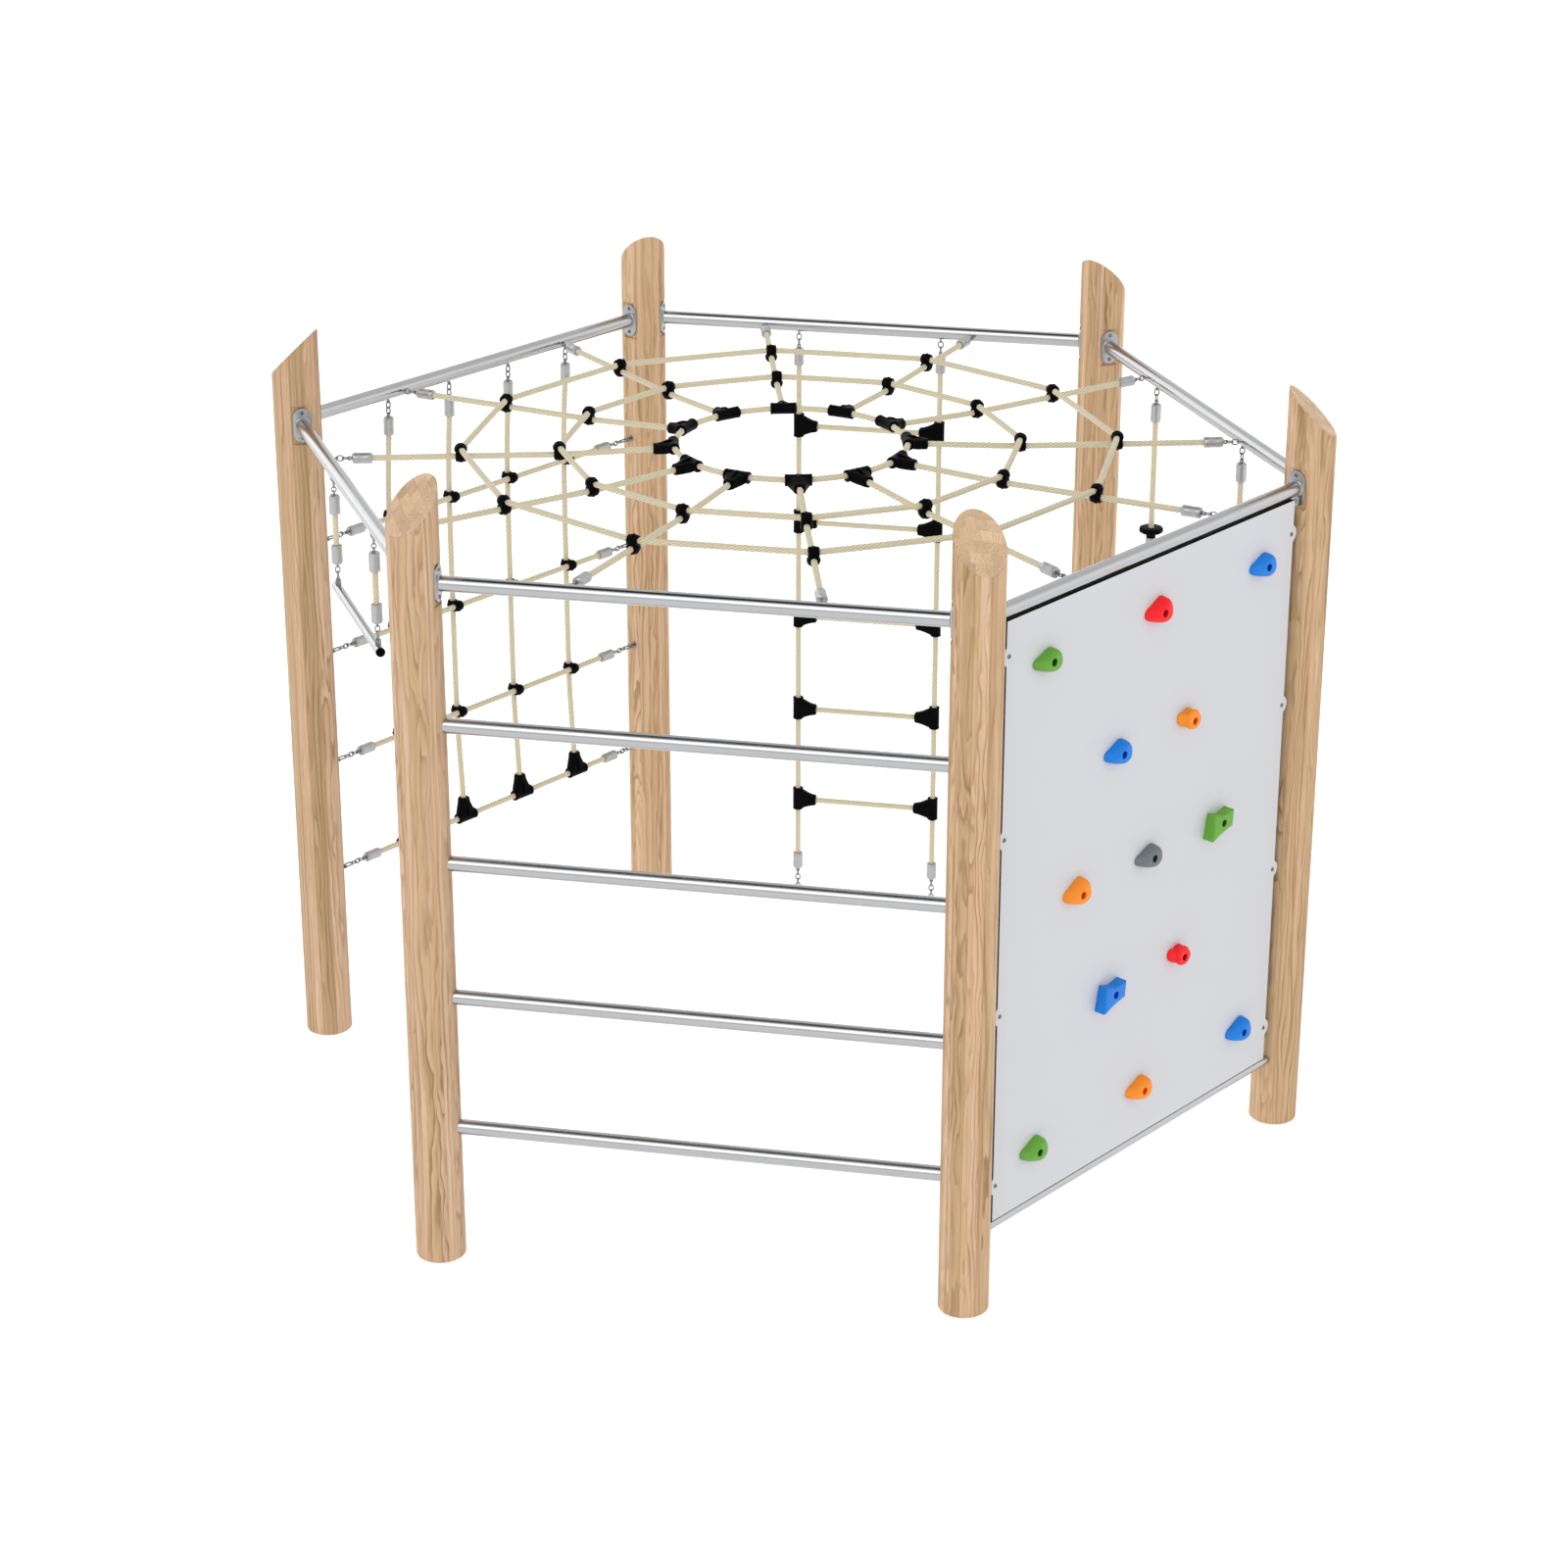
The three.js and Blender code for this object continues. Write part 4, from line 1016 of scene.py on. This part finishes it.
for i, (x, z, colour, kind) in enumerate(HOLDS):
    sh, H = {"tear": build_tear, "knob": build_knob, "bone": build_bone}[kind](i, x, z)
    M = hold_place(x, z)
    node = "hold_%02d_%s" % (i + 1, colour)
    # socket screw at the bottom of the recess; the screw is a real part, and its near-black colour is painted shade for
    # the deep recess
    bolt = Shell()
    bolt.lathe([(0, H - RECESS + 0.0030), (0.0034, H - RECESS + 0.0030), (0.0037, H - RECESS + 0.0062), (0.0058, H - RECESS + 0.0062), (0.0064, H - RECESS + 0.0054), (0.0064, H - RECESS + 0.0002), (0, H - RECESS + 0.0002)], M, 24, 0)
    o = sh.make(node + "_moulded", [HOLD[colour], HOLD_RECESS_SHADE[colour]], BODY, [node], "hold_" + colour, sharp=50 if kind != "bone" else 24)
    bolt.make(node + "_screw", [BOLT], BODY, [], "stainless_steel")


# ------------------------------------------------------------------ moulded rope connectors
def rounded(w, h, n=28, power=3.2):
    out = []
    for i in range(n):
        t = TAU * i / n
        c, s = math.cos(t), math.sin(t)
        out.append((w * math.copysign(abs(c) ** (2 / power), c), h * math.copysign(abs(s) ** (2 / power), s)))
    return out


T_SEP = 0.009      # how far below the through rope the joining rope lies at a T connector


def t_connector(sh, M, reach=1.0, mat=0):
    """Bar along X through the origin, stem towards +Y, whose rope lies T_SEP below."""
    def far(y):
        return y if y < 0.011 else 0.011 + (y - 0.011) * reach
    # tube round the through rope, with a lip at each mouth
    A = M @ Matrix.Translation((-0.0385, 0, 0)) @ Matrix.Rotation(rad(90), 4, "Y")
    sh.ring([(0.0086, 0.0005), (0.0104, 0), (0.0160, 0.0), (0.0172, 0.0010), (0.0176, 0.0030), (0.0172, 0.0056), (0.0168, 0.0072), (0.0168, 0.0698),
             (0.0172, 0.0714), (0.0176, 0.0740), (0.0172, 0.0760), (0.0160, 0.0770), (0.0104, 0.0770), (0.0086, 0.0765)], A, 40, mat)
    # stem, lofted towards the joining rope
    secs = []
    for y, w, zc, h in ((-0.010, 0.0345, -0.001, 0.0122), (0.003, 0.0362, -0.003, 0.0138), (0.011, 0.0352, -0.0058, 0.0152), (0.020, 0.0312, -0.0104, 0.0160),
                        (0.030, 0.0264, -0.0146, 0.0158), (0.040, 0.0222, -0.0182, 0.0152), (0.050, 0.0190, -0.0204, 0.0148), (0.0600, 0.0174, -0.0210, 0.0148), (0.0630, 0.0156, -0.0210, 0.0132)):
        secs.append([(px, far(y), zc * T_SEP / SEP + pz) for px, pz in rounded(w, h, 36, 3.6)])
    sh.loft([list(reversed(s)) for s in secs], M, mat)
    # low rib along the stem
    rib = []
    for y, w, top in ((-0.011, 0.0030, 0.0120), (0.0, 0.0040, 0.0186), (0.010, 0.0042, 0.0190), (0.024, 0.0040, 0.0160), (0.040, 0.0036, 0.0096), (0.052, 0.0032, 0.0066), (0.0600, 0.0028, 0.0050)):
        y = far(y)
        low = top - 0.013
        rib.append([(-w, y, low), (-w, y, top - 0.0014), (-w * 0.6, y, top), (w * 0.6, y, top), (w, y, top - 0.0014), (w, y, low)])
    sh.loft(rib, M, mat)
    # collar at the rope's mouth
    C = M @ Matrix.Translation((0, far(0.0560), -T_SEP)) @ Matrix.Rotation(rad(-90), 4, "X")
    sh.ring([(0.0084, 0), (0.0156, 0.0), (0.0164, 0.0012), (0.0164, 0.0060), (0.0150, 0.0078), (0.0098, 0.0078), (0.0084, 0.0068)], C, 32, mat)


def cross_connector(sh, M, mat=0):
    """Clamps a rope along X through the origin to a rope along Y that lies SEP below."""
    def lobe(L):
        prof = [(0.0084, -0.0146), (0.0100, -0.0155), (0.0138, -0.0154), (0.0152, -0.0142), (0.0160, -0.0118), (0.0162, -0.0080), (0.0168, -0.0066), (0.0173, -0.0040), (0.0173, 0.0040),
                (0.0168, 0.0066), (0.0162, 0.0080), (0.0160, 0.0118), (0.0152, 0.0142), (0.0138, 0.0154), (0.0100, 0.0155), (0.0084, 0.0146)]
        sh.ring(prof, L, 40, mat)
    lobe(M @ Matrix.Rotation(rad(90), 4, "Y"))
    lobe(M @ Matrix.Translation((0, 0, -SEP)) @ Matrix.Rotation(rad(90), 4, "X"))
    # waist between the two clamps
    secs = []
    for z, w in ((0.001, 0.0125), (-0.004, 0.0140), (-0.0075, 0.0134), (-0.0105, 0.0120), (-0.0135, 0.0134), (-0.017, 0.0140), (-0.022, 0.0125)):
        secs.append([(px, py, z) for px, py in rounded(w, w, 24, 3.4)])
    sh.loft(list(reversed(secs)), M, mat)
    # moulded ribs over the crown of each clamp
    for k, L in ((1, M), (-1, M @ Matrix.Translation((0, 0, -SEP)) @ Matrix.Rotation(rad(90), 4, "Z"))):
        pts = []
        for i in range(13):
            t = math.pi * (-0.12 + 1.24 * i / 12)
            pts.append(L @ Vector((0, 0.0173 * math.cos(t), k * 0.0173 * math.sin(t))))
        sh.sweep(pts, 0.0019, L.to_3x3() @ Vector((1, 0, 0)), 8, mat)


# ------------------------------------------------------------------ rope web
for i in range(12):
    deg = 15 + 30 * i
    M = Matrix.Rotation(rad(deg), 4, "Z")
    side_deg = 30 + 60 * round((deg - 30) / 60)
    lean = rad(side_deg - deg)
    surface = (AP - TUBE_R) / math.cos(lean)
    node = "web_spoke_%02d" % (i + 1)
    r_ = Shell()
    path = chaikin([(0.376, 0, RAIL_Z + SEP - T_SEP), (0.400, 0, RAIL_Z + SEP - T_SEP - 0.001), (0.645, 0, RAIL_Z), (0.700, 0, RAIL_Z), (1.211, 0, RAIL_Z)], 2)
    rope(r_, [M @ p for p in path], M.to_3x3() @ Vector((0, 1, 0)), phase=i * 0.7)
    r_.make(node + "_rope", [ROPE], BODY, [node], "rope", sharp=180, attr_name="lay")
    e = Shell()
    rail_end(e, M @ Vector((1.205, 0, RAIL_Z)), M @ Vector((surface, 0, RAIL_Z)),
             M.to_3x3() @ Vector((-math.cos(lean), -math.sin(lean), 0)), (0, 0, 1))
    e.make(node + "_fitting", [CHAIN, ALU], BODY, [node], "stainless_steel")

RINGS = {"inner": 0.339, "middle": 0.668, "outer": 0.951}
Z_RING = RAIL_Z + SEP
for word, R in RINGS.items():
    pts = []
    for i in range(12):
        a = rad(15 + 30 * i)
        c, s = math.cos(a), math.sin(a)
        half = 0.033 if word == "inner" else 0.012
        for k in (-half, half) if word == "inner" else (-half, half):
            q = R if word == "inner" else R - 0.002
            pts.append(Vector((q * c - k * s, q * s + k * c, Z_RING)))
    pts = chaikin(pts, 2, True)
    r_ = Shell()
    rope(r_, pts, (0, 0, 1), closed=True)
    r_.make("web_ring_%s_rope" % word, [ROPE], BODY, ["web_ring_" + word], "rope", sharp=180, attr_name="lay")
    c_ = Shell()
    for i in range(12):
        a = rad(15 + 30 * i)
        c, s = math.cos(a), math.sin(a)
        if word == "inner":
            t_connector(c_, basis((s, -c, 0), (c, s, 0), (0, 0, 1), (R * c, R * s, Z_RING)), 0.88)
        else:
            cross_connector(c_, basis((s, -c, 0), (c, s, 0), (0, 0, 1), (R * c, R * s, Z_RING)))
    c_.make("web_ring_%s_connectors" % word, [BLACK], BODY, ["web_ring_" + word], "black_plastic", sharp=40)

# ------------------------------------------------------------------ rope grid net
NET_X = [-0.3825, -0.1275, 0.1275, 0.3825]
NET_Z = [1.612, 1.250, 0.890]
NET_LOW = 0.529
yr, yu, yl = AP - 0.002, AP + 0.019, AP - 0.008
S = side_m("back_left")
S3 = S.to_3x3()
post_x = HALF - POST_R
for k, z in enumerate(NET_Z):
    node = "net_row_%d" % (k + 1)
    r_, e, c_ = Shell(), Shell(), Shell()
    rope(r_, [S @ Vector((-0.516, yr, z)), S @ Vector((0.516, yr, z))], (0, 0, 1), phase=k)
    for s in (-1, 1):
        post_end(e, S @ Vector((s * 0.511, yr, z)), S @ Vector((s * post_x, yr, z)), S3 @ Vector((-s, 0, 0)), (0, 0, 1))
    for x in NET_X:
        cross_connector(c_, S @ basis((1, 0, 0), (0, 0, 1), (0, -1, 0), (x, yr, z)))
    r_.make(node + "_rope", [ROPE], BODY, [node], "rope", sharp=180, attr_name="lay")
    e.make(node + "_fittings", [CHAIN, ALU], BODY, [node], "stainless_steel")
    c_.make(node + "_connectors", [BLACK], BODY, [node], "black_plastic", sharp=40)
r_, e, c_ = Shell(), Shell(), Shell()
rope(r_, [S @ Vector((-0.516, yl, NET_LOW)), S @ Vector((0.516, yl, NET_LOW))], (0, 0, 1))
for s in (-1, 1):
    post_end(e, S @ Vector((s * 0.511, yl, NET_LOW)), S @ Vector((s * post_x, yl, NET_LOW)), S3 @ Vector((-s, 0, 0)), (0, 0, 1))
for k, x in enumerate(NET_X):
    path = chaikin([(x, AP + 0.002, 1.890), (x, AP + 0.010, 1.800), (x, yu, 1.632), (x, yu, 0.870), (x, AP + 0.0105, 0.730), (x, yl + T_SEP, 0.575)], 3)
    rope(r_, [S @ p for p in path], S3 @ Vector((1, 0, 0)), phase=k * 1.3)
    rail_end(e, S @ Vector((x, AP + 0.0035, 1.875)), S @ Vector((x, AP, RAIL_Z - TUBE_R)), (0, 0, -1), S3 @ Vector((1, 0, 0)))
    t_connector(c_, S @ basis((1, 0, 0), (0, 0, 1), (0, -1, 0), (x, yl, NET_LOW)))
r_.make("net_uprights_rope", [ROPE], BODY, ["net_uprights"], "rope", sharp=180, attr_name="lay")
e.make("net_uprights_fittings", [CHAIN, ALU], BODY, ["net_uprights"], "stainless_steel")
c_.make("net_uprights_connectors", [BLACK], BODY, ["net_uprights"], "black_plastic", sharp=40)

# ------------------------------------------------------------------ rope ladder


def ground_end(sh, x, y, M):
    """Sleeve, chain and the anchor plate on the ground under a hanging rope."""
    M3 = M.to_3x3()
    a = M @ Vector((x, y, 0.153))
    ferrule(sh, a, (0, 0, -1), M3 @ Vector((1, 0, 0)), 1)
    p0 = eye(sh, a - Vector((0, 0, FERRULE_L)), (0, 0, -1), M3 @ Vector((1, 0, 0)), R=0.0050, neck=0.002)
    P = M @ Matrix.Translation((x, y, 0))
    sh.lathe([(0, 0.0), (0.0225, 0.0), (0.0240, 0.0012), (0.0240, 0.0036), (0.0228, 0.0048), (0.0075, 0.0050), (0.0065, 0.0075), (0, 0.0078)], P, 36, 0)
    p1 = eye(sh, M @ Vector((x, y, 0.007)), (0, 0, 1), M3 @ Vector((0, 1, 0)), R=0.0062, wire=0.0026, neck=0.002)
    chain(sh, p0, p1, M3 @ Vector((0, 1, 0)))


S = side_m("back")
S3 = S.to_3x3()
r_, e, c_ = Shell(), Shell(), Shell()
LX = 0.231
for s in (-1, 1):
    x = s * LX
    rope(r_, [S @ Vector((x, AP, 0.148)), S @ Vector((x, AP, 1.882))], S3 @ Vector((1, 0, 0)), phase=s)
    rail_end(e, S @ Vector((x, AP, 1.876)), S @ Vector((x, AP, RAIL_Z - TUBE_R)), (0, 0, -1), S3 @ Vector((1, 0, 0)))
    ground_end(e, x, AP, S)
    for k in range(5):
        t_connector(c_, S @ basis((0, 0, s), (-s, 0, 0), (0, 1, 0), (x, AP, 1.674 - 0.330 * k)))
for k in range(5):
    z = 1.674 - 0.330 * k
    rope(r_, [S @ Vector((-LX + 0.046, AP - T_SEP, z)), S @ Vector((LX - 0.046, AP - T_SEP, z))], (0, 0, 1), phase=k)
r_.make("rope_ladder_rope", [ROPE], BODY, ["rope_ladder"], "rope", sharp=180, attr_name="lay")
e.make("rope_ladder_fittings", [CHAIN, ALU], BODY, ["rope_ladder"], "stainless_steel")
c_.make("rope_ladder_connectors", [BLACK], BODY, ["rope_ladder"], "black_plastic", sharp=40)

# ------------------------------------------------------------------ disc ropes
S = side_m("back_right")
S3 = S.to_3x3()
for x, heights, word in ((-0.308, (1.526, 0.966, 0.406), "left"), (0.308, (1.246, 0.686), "right")):
    node = "disc_rope_" + word
    r_, e, c_ = Shell(), Shell(), Shell()
    rope(r_, [S @ Vector((x, AP, 0.148)), S @ Vector((x, AP, 1.882))], S3 @ Vector((1, 0, 0)))
    rail_end(e, S @ Vector((x, AP, 1.876)), S @ Vector((x, AP, RAIL_Z - TUBE_R)), (0, 0, -1), S3 @ Vector((0, 1, 0)))
    ground_end(e, x, AP, S)
    for z in heights:
        D = S @ Matrix.Translation((x, AP, z))

        def scallop(t, r, zz):
            return r - (0.0022 * (0.5 + 0.5 * math.cos(9 * t)) ** 3 if r > 0.028 else 0.0)
        c_.lathe([(0.0084, -0.0262), (0.0128, -0.0266), (0.0148, -0.0250), (0.0152, -0.0108), (0.0185, -0.0086), (0.0275, -0.0084), (0.0346, -0.0082), (0.0366, -0.0066), (0.0374, -0.0036),
                  (0.0374, 0.0034), (0.0366, 0.0056), (0.0350, 0.0066), (0.0210, 0.0068), (0.0190, 0.0070), (0.0120, 0.0072), (0.0100, 0.0068), (0.0084, 0.0060)], D, 72, 0, scallop)
        ferrule(e, S @ Vector((x, AP, z - 0.0255)), (0, 0, -1), S3 @ Vector((1, 0, 0)), 1)
    r_.make(node + "_rope", [ROPE], BODY, [node], "rope", sharp=180, attr_name="lay")
    e.make(node + "_fittings", [CHAIN, ALU], BODY, [node], "stainless_steel")
    c_.make(node + "_discs", [BLACK], BODY, [node], "black_plastic", sharp=35)

# ------------------------------------------------------------------ trapeze
S = side_m("front_left")
S3 = S.to_3x3()
X3, Y3 = S3 @ Vector((1, 0, 0)), S3 @ Vector((0, 1, 0))
TX, SWING_Z, PIN_Z, BAR_Z, BAR_R, BAR_H = 0.257, 1.977, 1.672, 1.643, 0.0135, 0.281
lug = Shell()
for s in (-1, 1):
    # lug plates under the rail, with their holes
    L = S @ basis((0, 1, 0), (0, 0, 1), (1, 0, 0), (s * TX - 0.0025, AP, SWING_Z))
    n = 32
    hole = [(0.0045 * math.cos(TAU * i / n), 0.0045 * math.sin(TAU * i / n)) for i in range(n)]
    outer = []
    for i in range(n):
        t = TAU * i / n
        c, q = math.cos(t), math.sin(t)
        if q < -0.0:
            outer.append((0.0092 * c, 0.0092 * q))
        else:
            k = min(0.0095 / max(abs(c), 1e-6), 0.0150 / max(abs(q), 1e-6))
            outer.append((k * c, k * q))
    verts = [(x_, y_, z_) for z_ in (0.0, 0.005) for ring_ in (outer, hole) for x_, y_ in ring_]
    faces = []
    for i in range(n):
        j = (i + 1) % n
        faces += [(i, n + i, n + j, j), (2 * n + i, 2 * n + j, 3 * n + j, 3 * n + i), (i, j, 2 * n + j, 2 * n + i), (n + i, 3 * n + i, 3 * n + j, n + j)]
    lug.add(verts, faces, L, 0)
lug.make("trapeze_lugs", [FLANGE], BODY, [], "stainless_steel", bevel=0.0006)

for s, word in ((1, "left"), (-1, "right")):
    node = "trapeze_rope_" + word
    x = s * TX
    r_, e = Shell(), Shell()
    rope(r_, [S @ Vector((x, AP, 1.7745)), S @ Vector((x, AP, 1.8755))], X3, phase=s)
    # top sleeve, its eye, one link and the link in the lug
    ferrule(e, S @ Vector((x, AP, 1.872)), (0, 0, 1), Y3, 1)
    p0 = eye(e, S @ Vector((x, AP, 1.930)), (0, 0, 1), X3, R=0.0050, neck=0.002)
    link(e, S @ Vector((x, AP, SWING_Z)), S @ Vector((x, AP, 1.9505)), X3, 0.0021, 0.0078)
    link(e, S @ Vector((x, AP, 1.9530)), p0 - Vector((0, 0, 0.0017)), Y3, 0.0019, 0.0070)
    # lower sleeve, eye, shackle round the bar's lug
    ferrule(e, S @ Vector((x, AP, 1.778)), (0, 0, -1), Y3, 1)
    q0 = eye(e, S @ Vector((x, AP, 1.720)), (0, 0, -1), X3, R=0.0048, neck=0.001)
    link(e, q0 + Vector((0, 0, 0.0017)), S @ Vector((x, AP, 1.6935)), Y3, 0.0019, 0.0066)
    shackle(e, S @ Vector((x, AP, 1.6950)), S @ Vector((x, AP, PIN_Z)), X3, 0.0024, 0.0066)
    r_.make(node + "_rope", [ROPE], "trapeze_ropes", [node], "rope", sharp=180, attr_name="lay")
    e.make(node + "_fittings", [CHAIN, ALU], "trapeze_ropes", [node], "stainless_steel")

b_ = Shell()
A = S @ along((-BAR_H, AP, BAR_Z), (BAR_H, AP, BAR_Z))
b_.ring([(BAR_R, 0.0004), (BAR_R, 2 * BAR_H - 0.0004), (BAR_R - 0.0023, 2 * BAR_H), (BAR_R - 0.0023, 0)], A, 56, 0)
for s in (-1, 1):
    L = S @ basis((0, 1, 0), (0, 0, 1), (1, 0, 0), (s * TX - 0.0022, AP, PIN_Z))
    n = 32
    hole = [(0.0034 * math.cos(TAU * i / n), 0.0034 * math.sin(TAU * i / n)) for i in range(n)]
    outer = []
    for i in range(n):
        t = TAU * i / n
        c, q = math.cos(t), math.sin(t)
        if q > 0:
            outer.append((0.0072 * c, 0.0072 * q))
        else:
            k = min(0.0085 / max(abs(c), 1e-6), 0.0190 / max(abs(q), 1e-6))
            outer.append((k * c, k * q))
    verts = [(x_, y_, z_) for z_ in (0.0, 0.0044) for ring_ in (outer, hole) for x_, y_ in ring_]
    faces = []
    for i in range(n):
        j = (i + 1) % n
        faces += [(i, n + i, n + j, j), (2 * n + i, 2 * n + j, 3 * n + j, 3 * n + i), (i, j, 2 * n + j, 2 * n + i), (n + i, 3 * n + i, 3 * n + j, n + j)]
    b_.add(verts, faces, L, 1)
b_.make("trapeze_bar_tube", [STEEL["front_left"], FLANGE], "trapeze_bar", ["trapeze_bar"], "stainless_steel")
for s, word in ((1, "left"), (-1, "right")):
    c_ = Shell()
    a = s * (BAR_H + 0.0001)
    C = S @ along((a, AP, BAR_Z), (a + s * 0.01, AP, BAR_Z))
    c_.lathe([(0, -0.012), (0.0098, -0.012), (0.0104, -0.0112), (0.0104, 0.0), (0.0134, 0.0), (0.0135, 0.0030), (0.0128, 0.0048), (0.0110, 0.0058), (0, 0.0062)], C, 40, 0)
    c_.make("trapeze_cap_%s_moulded" % word, [BLACK], "trapeze_bar", ["trapeze_cap_" + word], "black_plastic")

# ------------------------------------------------------------------ camera
YAW, PITCH, ROLL = 0.1991, 0.40133, 0.0007
fwd = Vector((-math.sin(YAW) * math.cos(PITCH), math.cos(YAW) * math.cos(PITCH), -math.sin(PITCH)))
right = Vector((math.cos(YAW), math.sin(YAW), 0))
up = right.cross(fwd)
right, up = right * math.cos(ROLL) + up * math.sin(ROLL), up * math.cos(ROLL) - right * math.sin(ROLL)
cam_data = bpy.data.cameras.new("camera")
cam_data.lens, cam_data.sensor_width, cam_data.sensor_fit = 85.2165, 36.0, "HORIZONTAL"
cam_data.clip_end = 200
cam = bpy.data.objects.new("camera", cam_data)
cam.matrix_world = basis(right, up, -fwd, (2.01135, -10.0629, 5.3153))
scene.collection.objects.link(cam)
scene.camera = cam

# ------------------------------------------------------------------ floor and light
fm = Nodes("floor_white")
fm.set(Base_Color=(0.80, 0.80, 0.80), Roughness=0.9)
fm.bsdf.inputs["Specular IOR Level"].default_value = 0.0
fm.bsdf.inputs["Emission Color"].default_value = (1, 1, 1, 1)
fm.bsdf.inputs["Emission Strength"].default_value = 0.48
me = bpy.data.meshes.new("floor")
me.from_pydata([(-90, -90, 0), (90, -90, 0), (90, 90, 0), (-90, 90, 0)], [], [(0, 1, 2, 3)])
me.materials.append(fm.mat)
floor = bpy.data.objects.new("floor", me)
floor.location.z = -0.0005
scene.collection.objects.link(floor)

# A white studio all round: three soft boxes and a dark patch of ceiling.
world = bpy.data.worlds.new("studio")
scene.world = world
world.use_nodes = True
wt = world.node_tree
bg = wt.nodes["Background"]
tc = wt.nodes.new("ShaderNodeTexCoord")


def lobe(direction, full, none):
    """1 within full degrees of a direction, falling to 0 at none degrees."""
    d = Vector(direction).normalized()
    v = wt.nodes.new("ShaderNodeVectorMath")
    v.operation = "DOT_PRODUCT"
    wt.links.new(tc.outputs["Generated"], v.inputs[0])
    v.inputs[1].default_value = d
    m = wt.nodes.new("ShaderNodeMapRange")
    m.interpolation_type = "SMOOTHSTEP"
    wt.links.new(v.outputs["Value"], m.inputs["Value"])
    m.inputs["From Min"].default_value = math.cos(rad(none))
    m.inputs["From Max"].default_value = math.cos(rad(full))
    return m.outputs["Result"]


def wmath(op, a, b):
    m = wt.nodes.new("ShaderNodeMath")
    m.operation = op
    for k, v in ((0, a), (1, b)):
        if isinstance(v, bpy.types.NodeSocket):
            wt.links.new(v, m.inputs[k])
        else:
            m.inputs[k].default_value = v
    return m.outputs[0]


level = 0.92
for direction, full, none, gain in (((-0.18, -0.73, 0.66), 5, 25, 1.75), ((-0.80, 0.56, 0.20), 8, 30, 0.85), ((0.93, 0.26, 0.25), 8, 30, 0.45)):
    level = wmath("ADD", level, wmath("MULTIPLY", lobe(direction, full, none), gain))
level = wmath("MULTIPLY", level, wmath("SUBTRACT", 1.0, wmath("MULTIPLY", lobe((-0.18, 0.10, 0.98), 9, 27), 0.99)))
# the low band is as white as the floor, so that no horizon shows
level = wmath("ADD", level, wmath("MULTIPLY", lobe((0, 0, 1), 88, 70), 0.10))
wt.links.new(level, bg.inputs["Strength"])
bg.inputs["Color"].default_value = (1, 1, 1, 1)

scene.view_settings.view_transform = "Standard"
scene.view_settings.look = "None"
scene.view_settings.exposure = 0.0
scene.view_settings.gamma = 1.0
